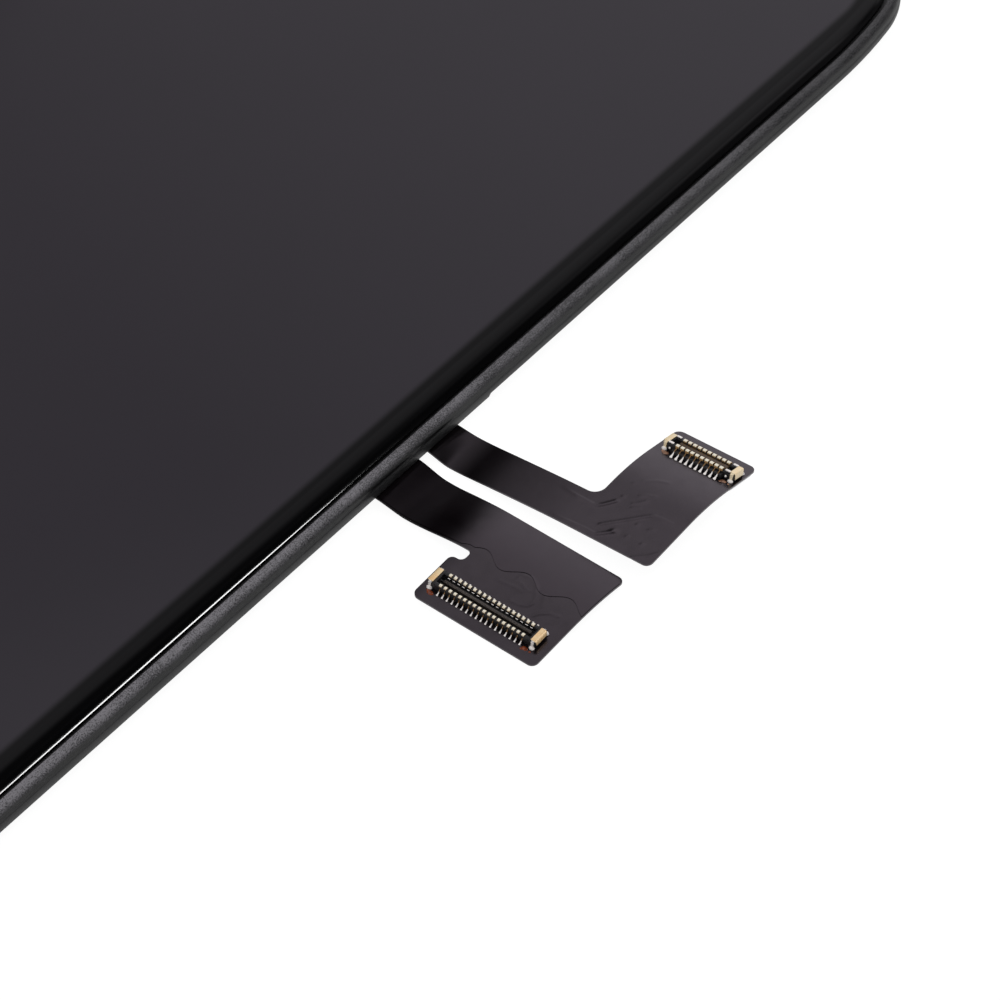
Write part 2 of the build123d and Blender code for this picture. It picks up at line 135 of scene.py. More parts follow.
class Shader(Nodes):
    """Node tree of one material, laid out in the frame of the piece that wears it."""

    def __init__(self, name: str) -> None:
        """Start an empty material.

        Args:
            name: Name of the material.
        """
        self.material = bpy.data.materials.new(name)
        self.material.use_nodes = True
        super().__init__(self.material.node_tree)
        self.place = self.node("TexCoord")["Object"]

    def noise(self, size: float, detail: float = 2.0, stretch: Point = (1, 1, 1)) -> Socket:
        """Cloudy pattern in the piece's own frame.

        Args:
            size: Size of the clouds in millimetres.
            detail: Number of finer layers.
            stretch: How many times finer the pattern is along each axis.

        Returns:
            The pattern's value, about 0.5 in the middle.
        """
        place = self.node("Mapping", {"Vector": self.place, "Scale": stretch})[0]
        settings = {"Vector": place, "Scale": 1 / (size * MM), "Detail": detail}
        return self.node("TexNoise", settings)["Fac"]

    def mottle(self, size: float, detail: float, spread: float, start: float, end: float,
               stretch: Point = (1, 1, 1)) -> Socket:
        """Cloudy pattern, used that far either side of its middle and carried to a range."""
        return self.ramp(self.noise(size, detail, stretch), 0.5 - spread, 0.5 + spread, start, end)

    def blend(self, share: Socket, *colours: object) -> Socket:
        """Mix two colours, or outputs that give colours, by the share of the second one."""
        first, second = [part if isinstance(part, Socket) else (*part, 1.0) for part in colours]
        return self.node("Mix", {0: share, 6: first, 7: second}, data_type="RGBA")[2]

    def bump(self, height: Socket, depth: float, below: Socket | None = None) -> Socket:
        """Relief from a height pattern.

        Args:
            height: The pattern, from 0 to 1.
            depth: Height of the relief in millimetres.
            below: Relief that this one stands on, if any.

        Returns:
            The shading normal.
        """
        inputs = {"Distance": depth * MM, "Strength": 1.0, "Height": height}
        if below is not None:
            inputs["Normal"] = below
        return self.node("Bump", inputs)[0]

    def finish(self, **inputs: object) -> Material:
        """Lay the surface and hand over the material.

        Args:
            **inputs: Values or outputs, by the input's name with underscores for spaces.

        Returns:
            The material.
        """
        named = {name.replace("_", " "): value for name, value in inputs.items()}
        self.node("OutputMaterial", {0: self.node("BsdfPrincipled", named)[0]})
        return self.material


@dataclass(frozen=True)
class Moulding:
    """Plastic, foam or film of one colour with fine clouds and grain."""

    name: str
    dark: Colour
    light: Colour
    sheen: Sheen
    cloud_mm: float = 1.5
    grain_mm: float = 0.06
    depth_mm: float = 0.004
    ior: float = 1.5

    def material(self) -> Material:
        """Build the material.

        Returns:
            The material.
        """
        shader = Shader(self.name)
        clouds = shader.mottle(self.cloud_mm, 4.0, NARROW, 0, 1)
        rough = shader.mottle(self.cloud_mm * 0.4, 3.0, WIDE, *self.sheen.span(0.12))
        relief = shader.bump(shader.noise(self.grain_mm, 1.0), self.depth_mm)
        colour = shader.blend(clouds, self.dark, self.light)
        return shader.finish(Base_Color=colour, Roughness=rough, Normal=relief, IOR=self.ior)


@dataclass(frozen=True)
class Metal:
    """Rolled or plated metal with a fine brushed or mottled surface."""

    name: str
    dark: Colour
    light: Colour
    sheen: Sheen
    cloud_mm: float = 0.5
    stretch: Point = (1.0, 1.0, 1.0)
    depth_mm: float = 0.002
    metallic: float = 1.0
    ior: float = 1.5

    def material(self) -> Material:
        """Build the material.

        Returns:
            The material.
        """
        shader = Shader(self.name)
        clouds = shader.noise(self.cloud_mm, 4.0, self.stretch)
        share = shader.ramp(clouds, 0.5 - WIDE, 0.5 + WIDE, 0, 1)
        colour = shader.blend(share, self.dark, self.light)
        rough = shader.mottle(self.cloud_mm * 0.5, 2.0, WIDE, *self.sheen.span(0.25), self.stretch)
        relief = shader.bump(clouds, self.depth_mm)
        return shader.finish(Base_Color=colour, Roughness=rough, Normal=relief,
                             Metallic=self.metallic, IOR=self.ior)


@dataclass(frozen=True)
class Plated:
    """Plated contact with painted light: cream as a painted highlight where it faces up, and deeper
    gold, the plating darkened as painted shade, on its upright faces.
    """

    name: str
    # Painted highlight colour of faces turned up, then painted shade colour of upright faces
    top: Colour
    side: Colour
    sheen: Sheen
    upright: float = 0.25
    level: float = 0.85
    ior: float = 1.9
    cloud_mm: float = 0.10
    clouds: Flat = (0.88, 1.0)

    def material(self) -> Material:
        """Build the material.

        Returns:
            The material.
        """
        shader = Shader(self.name)
        # Painted light by the way each face turns: up is lit, upright is shaded
        facing = shader.axes(shader.node("NewGeometry")["Normal"])["Z"]
        painted_light_share = shader.ramp(facing, self.upright, self.level, 0, 1, SMOOTH)
        clouds = shader.mottle(self.cloud_mm, 2.0, NARROW, *self.clouds)
        share = shader.maths("MULTIPLY", painted_light_share, clouds)
        rough = shader.mottle(self.cloud_mm * 0.6, 2.0, WIDE, *self.sheen.span(0.2))
        return shader.finish(Base_Color=shader.blend(share, self.side, self.top), Roughness=rough,
                             IOR=self.ior)


@dataclass(frozen=True)
class BlackGlass:
    """Cover glass over a black border, with the unlit picture area a shade lighter inside it."""

    name: str = "black_glass"
    half_x: float = 31.2
    half_y: float = 67.6
    corner: float = 6.2
    border: Colour = (0.0016, 0.0016, 0.0018)
    picture: Colour = (0.0072, 0.0042, 0.0098)
    gloss: float = 0.37
    border_gloss: float = 0.11
    border_ease: float = 0.5
    dull_ease: float = 0.55
    edge_start: float = 1.45
    edge_end: float = 1.75
    cloud_mm: float = 14.0
    cloud_gain: float = 1.12
    rough_mm: float = 6.0
    rough: Flat = (0.03, 0.06)

    def material(self) -> Material:
        """Build the material: the picture area is a rounded rectangle worked out in place.

        Returns:
            The material.
        """
        shader = Shader(self.name)
        axes = shader.axes(shader.place)
        outs = []
        for axis, half in (("X", self.half_x), ("Y", self.half_y)):
            reach = shader.maths("ABSOLUTE", axes[axis])
            past = shader.maths("SUBTRACT", reach, (half - self.corner) * MM)
            outs.append(shader.maths("MAXIMUM", past, 0.0))
        squares = [shader.maths("POWER", out, 2.0) for out in outs]
        away = shader.maths("SQRT", shader.maths("ADD", *squares))
        rim = self.corner * MM
        inside = shader.ramp(away, rim, (self.corner + self.border_ease) * MM, 1, 0, SMOOTH)
        clouds = shader.mottle(self.cloud_mm, 3.0, NARROW, 0, 1)
        lighter = tuple(part * self.cloud_gain for part in self.picture)
        picture = shader.blend(clouds, self.picture, lighter)
        dull = shader.ramp(away, rim, (self.corner + self.dull_ease) * MM, self.gloss,
                           self.border_gloss, SMOOTH)
        edge = shader.ramp(away, (self.corner + self.edge_start) * MM,
                           (self.corner + self.edge_end) * MM, 0.0, self.gloss, SMOOTH)
        rough = shader.mottle(self.rough_mm, 3.0, WIDE, *self.rough)
        return shader.finish(Base_Color=shader.blend(inside, self.border, picture),
                             Roughness=rough, IOR=1.5,
                             Specular_IOR_Level=shader.maths("MAXIMUM", dull, edge))


@dataclass(frozen=True)
class SandBlast:
    """Black moulded frame with an even sand-blasted grain, paler on the lip under a painted
    highlight that is strongest at the near end.
    """

    name: str = "sand_blasted_black"
    dark: Colour = (0.008, 0.008, 0.0085)
    light: Colour = (0.032, 0.032, 0.0335)
    # Colour of the painted highlight on the lip, and the heights over which it comes in
    lip_highlight: Colour = (0.205, 0.196, 0.214)
    lip_low: float = 1.92
    lip_top: float = 2.22
    # Y over which the painted highlight fades from the near end to the far end
    near: float = -20.0
    far: float = 62.0
    gloss: float = 0.36
    valley: float = 1.68
    valley_half: float = 0.24
    grain_mm: float = 0.080
    depth_mm: float = 0.010
    far_highlight_share: float = 0.14
    grain_part: float = 0.75
    speckle: Band = (0.40, 0.60, 0.30, 1.55)
    body: Band = (0.40, 0.62, 0.0, 1.0)
    cloud_mm: float = 2.5
    # Colour of the painted shade in the groove, and the share of plain colour and gloss left at its
    # middle
    shade: Colour = (0.002, 0.002, 0.002)
    valley_share: float = 0.30
    rough: Flat = (0.38, 0.52)

    def material(self) -> Material:
        """Build the material.

        Returns:
            The material.
        """
        shader = Shader(self.name)
        axes = shader.axes(shader.place)
        # Painted highlight: paler towards the lip's top and towards the near end, speckled by the
        # grain
        lip = shader.ramp(axes["Z"], self.lip_low * MM, self.lip_top * MM, 0.0, 1.0)
        along = shader.ramp(axes["Y"], self.near * MM, self.far * MM, 1.0, self.far_highlight_share)
        grain = shader.noise(self.grain_mm, 2.0)
        clouds = shader.noise(self.cloud_mm, 3.0)
        mixed = shader.maths("ADD", shader.maths("MULTIPLY", grain, self.grain_part),
                             shader.maths("MULTIPLY", clouds, 1 - self.grain_part))
        speckle = shader.ramp(mixed, *self.speckle)
        plain = shader.blend(shader.ramp(mixed, *self.body), self.dark, self.light)
        share = shader.maths("MULTIPLY", shader.maths("MULTIPLY", lip, along), speckle)
        # Painted shade in the groove: colour and reflection both darken towards its middle
        away = shader.maths("ABSOLUTE", shader.maths("SUBTRACT", axes["Z"], self.valley * MM))
        open_air = shader.ramp(away, 0.0, self.valley_half * MM, self.valley_share, 1.0, SMOOTH)
        shaded = shader.blend(open_air, self.shade, plain)
        rough = shader.ramp(grain, 0.5 - WIDE, 0.5 + WIDE, *self.rough)
        return shader.finish(Base_Color=shader.blend(share, shaded, self.lip_highlight), Roughness=rough,
                             Normal=shader.bump(grain, self.depth_mm), IOR=1.45,
                             Specular_IOR_Level=shader.maths("MULTIPLY", open_air, self.gloss))


@dataclass(frozen=True)
class CoverFilm:
    """Satin black cover layer of a flex circuit, with painted shade that turns its reflection down
    where it bends out of the module, and a painted glint at its root.

    Its grain and its ripple are each a size and a depth in millimetres.
    """

    name: str = "flex_cover_film"
    dark: Colour = (0.0026, 0.0019, 0.0023)
    light: Colour = (0.0046, 0.0034, 0.0041)
    rough: float = 0.20
    tint: Colour = (1.0, 0.865, 0.965)
    # X where the painted shade in the reflection ends, and where full reflection is back
    shade_until: float = 38.6
    bright_from: float = 41.6
    gloss: float = 0.37
    root_glint: float = 0.05
    root_end: float = 35.0
    root_run: float = 2.6
    shaded_gloss: float = 0.03
    ior: float = 1.68
    cloud_mm: float = 2.2
    rough_mm: float = 0.8
    rough_span: Flat = (-0.04, 0.05)
    grain: Flat = (0.05, 0.0010)
    ripple: Flat = (1.6, 0.006)

    def material(self) -> Material:
        """Build the material.

        Returns:
            The material.
        """
        shader = Shader(self.name)
        clouds = shader.mottle(self.cloud_mm, 4.0, WIDE, 0, 1)
        low, high = [self.rough + part for part in self.rough_span]
        rough = shader.mottle(self.rough_mm, 3.0, WIDE, low, high)
        along = shader.axes(shader.place)["X"]
        # Painted shade: reflection turned down where the film bends out of the module
        out = shader.ramp(along, self.shade_until * MM, self.bright_from * MM, self.shaded_gloss,
                          self.gloss, SMOOTH)
        # Painted glint at the film's root by the frame
        root = shader.ramp(along, self.root_end * MM, (self.root_end + self.root_run) * MM,
                           self.root_glint, 0.0, SMOOTH)
        (grain_mm, fine), (ripple_mm, deep) = self.grain, self.ripple
        relief = shader.bump(shader.noise(ripple_mm), deep,
                             shader.bump(shader.noise(grain_mm), fine))
        colour = shader.blend(clouds, self.dark, self.light)
        return shader.finish(Base_Color=colour, Roughness=rough, Normal=relief, IOR=self.ior,
                             Specular_Tint=(*self.tint, 1.0),
                             Specular_IOR_Level=shader.maths("MAXIMUM", out, root))


FINISHES: dict[str, object] = {
    "cover_glass": BlackGlass(),
    "bezel_frame": SandBlast(),
    "display_flex": CoverFilm(),
    "touch_flex": CoverFilm("touch_cover_film", shade_until=37.0, bright_from=40.4, gloss=0.46,
                            root_glint=0.22),
    "display_shield": CoverFilm("shield_film", (0.0024, 0.0016, 0.0021), (0.0042, 0.0030, 0.0038),
                                0.19, (1.0, 0.845, 0.965)),
    "connector_plastic": Moulding("connector_black", (0.010, 0.010, 0.011), (0.022, 0.021, 0.022),
                                  Sheen.EGGSHELL, 0.4, 0.05, 0.003),
    "pad_gold": Plated("cream_gold_pads", (1.0, 0.94, 0.77), (0.50, 0.30, 0.11), Sheen.SATIN),
    "tab_gold": Metal("gold_tabs", (0.98, 0.62, 0.28), (1.0, 0.78, 0.46), Sheen.SATIN, 0.4,
                      metallic=0.2, depth_mm=0.0006, ior=1.9),
    "tab_pale": Metal("pale_gold_tabs", (0.98, 0.74, 0.42), (1.0, 0.86, 0.60), Sheen.SATIN, 0.4,
                      metallic=0.1, depth_mm=0.0006, ior=1.9),
    "bronze": Metal("bronze_legs", (0.20, 0.10, 0.035), (0.45, 0.27, 0.12), Sheen.SATIN, 0.1,
                    metallic=0.5, depth_mm=0.0006),
    "solder": Metal("bright_solder", (0.94, 0.85, 0.80), (1.0, 0.98, 0.96), Sheen.GLOSS, 0.10,
                    metallic=0.0, depth_mm=0.0015, ior=2.0),
    "flux": Moulding("orange_flux", (0.12, 0.022, 0.006), (0.26, 0.055, 0.015), Sheen.GLOSS, 0.15),
    "copper_flux": Moulding("copper_flux", (0.16, 0.07, 0.04), (0.34, 0.19, 0.12), Sheen.GLOSS,
                            0.12),
    "ridge_grey": Moulding("ridge_grey_brown", (0.008, 0.006, 0.005), (0.085, 0.068, 0.055),
                           Sheen.SATIN, 0.08),
    "ridge_gold": Moulding("ridge_gold_brown", (0.040, 0.018, 0.003), (0.080, 0.042, 0.010),
                           Sheen.SATIN, 0.3),
    "stiffener": Metal("stiffener_steel", (0.42, 0.42, 0.43), (0.58, 0.58, 0.59), Sheen.SATIN, 0.3,
                       (1.0, 8.0, 1.0)),
    "plate": Metal("pressed_steel", (0.40, 0.40, 0.41), (0.55, 0.55, 0.56), Sheen.SATIN, 0.6,
                   (1.0, 10.0, 1.0)),
    "pan": Metal("bright_pan_steel", (0.52, 0.52, 0.53), (0.68, 0.68, 0.69), Sheen.GLOSS, 0.8),
    "graphite": Moulding("graphite_film", (0.020, 0.020, 0.022), (0.040, 0.040, 0.044),
                         Sheen.SATIN, 3.0, 0.20, 0.006),
    "foam": Moulding("black_foam", (0.012, 0.012, 0.012), (0.035, 0.035, 0.035), Sheen.MATTE, 0.6,
                     0.22, 0.050),
    "strip_film": Moulding("driver_film_black", (0.018, 0.014, 0.010), (0.034, 0.028, 0.020),
                           Sheen.SATIN, 1.2),
    "black_ink": Moulding("border_ink", (0.002, 0.002, 0.002), (0.005, 0.005, 0.005), Sheen.GLOSS),
    "mesh": Moulding("earpiece_mesh_black", (0.006, 0.006, 0.006), (0.030, 0.030, 0.030),
                     Sheen.MATTE, 0.10, 0.12, 0.040),
    "glue": Moulding("black_glue", (0.010, 0.010, 0.010), (0.022, 0.022, 0.022), Sheen.EGGSHELL),
    "clear_film": Moulding("clear_film", (0.42, 0.43, 0.44), (0.52, 0.53, 0.54), Sheen.GLOSS, 4.0),
    "polariser": Moulding("polariser_film", (0.020, 0.020, 0.024), (0.030, 0.030, 0.034),
                          Sheen.GLOSS, 4.0),
    "cell": Moulding("cell_glass", (0.03, 0.032, 0.035), (0.05, 0.052, 0.055), Sheen.POLISHED, 5.0),
    "silicon": Moulding("chip_silicon", (0.05, 0.05, 0.055), (0.09, 0.09, 0.10), Sheen.SATIN, 0.5),
    "white": Moulding("white_moulding", (0.72, 0.72, 0.70), (0.82, 0.82, 0.80), Sheen.EGGSHELL,
                      2.0),
    "lamp": Moulding("lamp_body", (0.70, 0.62, 0.22), (0.84, 0.78, 0.42), Sheen.SATIN, 0.4),
}

# The carried-over pieces that are shown as they are, by the finish that they wear
DRESS: dict[str, tuple[str, ...]] = {
    "plate": ("rear_plate",), "pan": ("backlight_pan",), "graphite": ("graphite_sheet",),
    "foam": ("rear_cushion",), "black_ink": ("border_mask",), "mesh": ("earpiece_mesh",),
    "glue": ("frame_adhesive",), "silicon": ("driver_chip",), "lamp": ("backlight_leds",),
    "stiffener": ("display_stiffener", "touch_stiffener"),
    "strip_film": ("driver_film", "led_strip", "rim_tape"),
    "clear_film": ("optical_adhesive", "upper_prism_sheet", "lower_prism_sheet",
                   "light_guide_plate"),
    "polariser": ("front_polariser", "rear_polariser"),
    "cell": ("colour_filter_glass", "array_glass"),
    "white": ("diffuser_sheet", "reflector_sheet", "backlight_tray"),
}


def select_only(pieces: Sequence[Piece] = ()) -> None:
    """Leave only the given objects selected, and the last of them active.

    Args:
        pieces: The objects.
    """
    bpy.ops.object.select_all(action="DESELECT")
    for piece in pieces:
        piece.select_set(True)
        bpy.context.view_layer.objects.active = piece


def start_ring(name: str, points: Sequence[Point], fill: bool) -> Piece:
    """Add a ring of vertices laid on a line, left in edit mode and all selected.

    Args:
        name: Name of the new piece.
        points: Places of the vertices, in millimetres.
        fill: Whether one face fills the ring.

    Returns:
        The new piece.
    """
    select_only()
    bpy.ops.mesh.primitive_circle_add(vertices=len(points), radius=MM,
                                      fill_type="NGON" if fill else "NOTHING")
    piece = bpy.context.object
    piece.name = name
    for vertex, point in zip(piece.data.vertices, points):
        vertex.co = [part * MM for part in point]
    bpy.ops.object.mode_set(mode="EDIT")
    bpy.ops.mesh.select_all(action="SELECT")
    return piece


def carry_on(piece: Piece, before: Sequence[Point], after: Sequence[Point]) -> None:
    """Extrude what is selected and lay the new vertices on another line.

    Args:
        piece: The piece in edit mode.
        before: Places of the selected vertices, in millimetres.
        after: Their new places, in the same order.
    """
    bpy.ops.mesh.extrude_region_move()
    mesh = bmesh.from_edit_mesh(piece.data)
    places = KDTree(len(before))
    for index, point in enumerate(before):
        places.insert(point, index)
    places.balance()
    for vertex in mesh.verts:
        if vertex.select:
            index = places.find(vertex.co / MM)[1]
            vertex.co = [part * MM for part in after[index]]
    bmesh.update_edit_mesh(piece.data)


def smooth(piece: Piece, angle: float) -> None:
    """Shade a piece smooth over the edges that turn by less than an angle in degrees."""
    select_only([piece])
    bpy.ops.object.shade_smooth_by_angle(angle=math.radians(angle))


def close_up(piece: Piece, angle: float = 30.0) -> None:
    """Leave edit mode with normals outwards and gentle edges shaded smooth.

    Args:
        piece: The piece in edit mode.
        angle: Sharpest turn that is still shaded smooth, in degrees.
    """
    bpy.ops.mesh.select_all(action="SELECT")
    bpy.ops.mesh.normals_make_consistent(inside=False)
    bpy.ops.object.mode_set(mode="OBJECT")
    smooth(piece, angle)


def select_edges(piece: Piece, wanted: Callable[[bmesh.types.BMEdge], bool]) -> None:
    """Select the edges that pass a test, and no others.

    Args:
        piece: The piece in edit mode.
        wanted: Says whether an edge is wanted.
    """
    mesh = bmesh.from_edit_mesh(piece.data)
    for edge in mesh.edges:
        edge.select = wanted(edge)
    mesh.select_flush_mode()
    bmesh.update_edit_mesh(piece.data)


def size_up(name: str, size: Point) -> Piece:
    """Name the primitive just added, give it its size and open it, with all selected.

    Args:
        name: Name of the new piece.
        size: Its size in millimetres, where the primitive measures one unit.

    Returns:
        The new piece, in edit mode.
    """
    piece = bpy.context.object
    piece.name = name
    piece.scale = [part * MM for part in size]
    bpy.ops.object.transform_apply(location=True, rotation=True, scale=True)
    bpy.ops.object.mode_set(mode="EDIT")
    bpy.ops.mesh.select_all(action="SELECT")
    return piece


def hand_over(piece: Piece, finish: object, slot: str, *nodes: str) -> None:
    """Dress a finished piece and fix it to the module.

    Args:
        piece: The finished piece.
        finish: The finish, as a material.
        slot: Material slot of the record that it takes, or an empty text; not used.
        *nodes: Carried-over pieces that it stands for.
    """
    piece.data.materials.clear()
    piece.data.materials.append(finish)
    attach(piece, "root")
    if nodes:
        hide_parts(*nodes)
    log.info("made %s", piece.name)


def apply_modifier(piece: Piece, kind: str, **settings: object) -> None:
    """Add a modifier and apply it at once.

    Args:
        piece: The piece, in object mode.
        kind: Blender's name of the modifier type.
        **settings: The modifier's settings.
    """
    select_only([piece])
    modifier = piece.modifiers.new(kind.lower(), kind)
    for name, value in settings.items():
        setattr(modifier, name, value)
    bpy.ops.object.modifier_apply(modifier=modifier.name)


def soften(piece: Piece, radius: float, angle: float) -> None:
    """Round the edges that turn by more than an angle in degrees."""
    apply_modifier(piece, "BEVEL", width=radius * MM, segments=2, limit_method="ANGLE",
                   angle_limit=math.radians(angle), use_clamp_overlap=True)


def cut(piece: Piece, tool: Piece, operation: str) -> None:
    """Cut a piece with another one, which is used up."""
    apply_modifier(piece, "BOOLEAN", operation=operation, solver="EXACT", object=tool)
    bpy.data.objects.remove(tool)


def refined_copy(node: str, radius: float) -> Piece:
    """Copy a carried-over piece, merge its loose triangles and round its edges.

    Args:
        node: The carried-over piece.
        radius: Radius of the rounded edges in millimetres.

    Returns:
        The finished copy, still without a material.
    """
    piece = bpy.data.objects.new(f"fine_{node}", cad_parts[node].data.copy())
    bpy.context.scene.collection.objects.link(piece)
    select_only([piece])
    bpy.ops.object.mode_set(mode="EDIT")
    bpy.ops.mesh.select_all(action="SELECT")
    bpy.ops.mesh.remove_doubles(threshold=0.0005 * MM)
    bpy.ops.mesh.dissolve_limited(angle_limit=math.radians(0.8))
    bpy.ops.object.mode_set(mode="OBJECT")
    soften(piece, radius, 35)
    bpy.ops.object.mode_set(mode="EDIT")
    close_up(piece, CREASE)
    return piece


@dataclass(frozen=True)
class ModuleOutline:
    """Outline of the module: straight sides joined by corners that ease in and out."""

    width: float = 68.4
    length: float = 141.2
    small: float = 8.0
    large: float = 40.0
    ease: float = 9.0
    stops: tuple[float, ...] = (-40.0, 0.0, 21.42, 21.58, 45.0)
    eased_steps: int = 5
    turn_steps: int = 26

    def corner(self, inset: float) -> list[Flat]:
        """Points round the corner at +X and +Y.

        Args:
            inset: Distance inwards from the outside of the frame.

        Returns:
            The points across the floor, in millimetres.
        """
        lean = math.radians(self.ease)
        gap = self.large - self.small
        ease = math.cos(lean) - math.sin(lean)
        first = (self.width / 2 - self.large, self.length / 2 - self.large + gap * ease)
        second = (first[0] + gap * math.cos(lean), first[1] + gap * math.sin(lean))
        third = (second[0] - gap * math.sin(lean), second[1] - gap * math.cos(lean))
        points = []
        for centre, radius, low, high, steps in (
                (first, self.large, 0.0, lean, self.eased_steps),
                (second, self.small, lean, math.pi / 2 - lean, self.turn_steps),
                (third, self.large, math.pi / 2 - lean, math.pi / 2, self.eased_steps)):
            for step in range(steps + (centre is third)):
                angle = low + (high - low) * step / steps
                points.append((centre[0] + (radius - inset) * math.cos(angle),
                               centre[1] + (radius - inset) * math.sin(angle)))
        return points

    def points(self, inset: float, height: float, foot_rise: float = 0.0) -> list[Point]:
        """Points all round the outline.

        Args:
            inset: Distance inwards from the outside of the frame.
            height: Height of the points.
            foot_rise: How much higher they lie beyond the step in the frame's foot.

        Returns:
            The points, counter-clockwise, in millimetres.
        """
        corner = self.corner(inset)
        side = self.width / 2 - inset
        right = [(side, y) for y in self.stops]
        upper = right + corner + [(-x, y) for x, y in reversed(corner)]
        left = [(-side, y) for y in reversed(self.stops)]
        lower = [(-x, -y) for x, y in corner] + [(x, -y) for x, y in reversed(corner)]
        step = (self.stops[2] + self.stops[3]) / 2
        return [(x, y, height + (foot_rise if y > step else 0.0)) for x, y in upper + left + lower]


@dataclass
class CoverGlass:
    """Cover glass with a rounded fall along its edge and an earpiece slot."""

    outline: ModuleOutline
    finish: Material
    inset: float = 0.92
    bottom: float = 1.99
    thickness: float = 0.56
    curve_width: float = 1.40
    curve_drop: float = 0.30
    curve_steps: int = 14
    slot_length: float = 12.0
    slot_width: float = 0.70
    slot_from_edge: float = 1.05
    arris: float = 0.03
    shoulder: float = 0.006

    def profile(self) -> list[Flat]:
        """Section of the glass, from the rear edge up to where its face is flat.

        Returns:
            Inset and height of each ring.
        """
        top = self.bottom + self.thickness
        radius = (self.curve_width ** 2 + self.curve_drop ** 2) / (2 * self.curve_drop)
        rings = [(self.inset + self.arris, self.bottom), (self.inset, self.bottom + self.arris),
                 (self.inset, top - self.curve_drop - 2 * self.shoulder)]
        for step in range(self.curve_steps + 1):
            away = self.curve_width * (1 - step / self.curve_steps)
            fall = radius - math.sqrt(radius ** 2 - away ** 2)
            rings.append((self.inset + self.curve_width - away + self.shoulder, top - fall))
        return rings

    def slot(self) -> Piece:
        """Make the block that cuts the earpiece slot.

        Returns:
            The block.
        """
        end = self.outline.length / 2 - self.inset - self.slot_from_edge
        select_only()
        bpy.ops.mesh.primitive_cube_add(size=1.0, location=(0.0, end * MM, self.bottom * MM))
        block = size_up("slot", (self.slot_length, self.slot_width, 3.0))
        bpy.ops.mesh.select_all(action="DESELECT")
        select_edges(block, lambda edge: abs(edge.verts[0].co.z - edge.verts[1].co.z) > MM)
        bpy.ops.mesh.bevel(offset=self.slot_width / 2 * MM * 0.98, segments=8, affect="EDGES")
        bpy.ops.object.mode_set(mode="OBJECT")
        return block

    def build(self) -> None:
        """Make the glass, cut its slot and put it in place of the plain one."""
        rings = [self.outline.points(inset, height) for inset, height in self.profile()]
        glass = start_ring("curved_cover_glass", rings[0], True)
        for before, after in zip(rings, rings[1:]):
            carry_on(glass, before, after)
        close_up(glass)
        cut(glass, self.slot(), "DIFFERENCE")
        smooth(glass, 30)
        hand_over(glass, self.finish, "cover_glass", "cover_glass")


@dataclass
class BezelFrame:
    """Moulded frame: a foot with a step in it, a soft groove, a rounded lip and an inner ledge."""

    outline: ModuleOutline
    finish: Material
    bottom: float = 0.73
    foot_rise: float = 0.17
    top: float = 2.26
    ledge: float = 1.94
    wall: float = 1.60
    lip: float = 0.65
    lip_radius: float = 0.52
    lip_lean: float = 12.0
    groove_height: float = 1.57
    groove_half: float = 0.17
    groove_depth: float = 0.05
    foot_round: float = 0.08
    foot_steps: int = 3
    steps: int = 10
    arris: Flat = (0.01, 0.03)

    def profile(self) -> list[tuple[float, float, bool]]:
        """Section of the frame.

        Returns:
            Inset and height of each ring, and whether it belongs to the foot.
        """
        points = [(self.wall, self.bottom, True)]
        for step in range(self.foot_steps + 1):
            turn = math.pi / 2 * step / self.foot_steps
            points.append((self.foot_round * (1 - math.sin(turn)),
                           self.bottom + self.foot_round * (1 - math.cos(turn)), True))
        for step in range(self.steps + 1):
            turn = math.pi * step / self.steps
            points.append((self.groove_depth * math.sin(turn) ** 2,
                           self.groove_height - self.groove_half * math.cos(turn), False))
        start = math.cos(math.radians(self.lip_lean))
        for step in range(self.steps + 1):
            turn = math.radians(90 - self.lip_lean) * step / self.steps
            points.append((self.lip_radius * (1 - math.cos(turn)),
                           self.top - self.lip_radius * (start - math.sin(turn)), False))
        points += [(self.lip - self.arris[0], self.top, False),
                   (self.lip, self.top - self.arris[1], False),
                   (self.lip, self.ledge, False), (self.wall, self.ledge, False)]
        return points

    def build(self) -> None:
        """Make the frame and put it in place of the plain one."""
        rings = [self.outline.points(inset, height, self.foot_rise if foot else 0.0)
                 for inset, height, foot in self.profile()]
        rim = start_ring("moulded_frame", rings[0], False)
        for before, after in zip(rings, rings[1:]):
            carry_on(rim, before, after)
        select_edges(rim, lambda edge: edge.is_boundary)
        bpy.ops.mesh.bridge_edge_loops()
        close_up(rim, 50.0)
        hand_over(rim, self.finish, "frame", "bezel_frame")


@dataclass(frozen=True)
class Knot:
    """One place on the way out of the module, with the film's height and slope there."""

    x: float
    height: float
    slope: float = 0.0
    tilt: float = 0.0


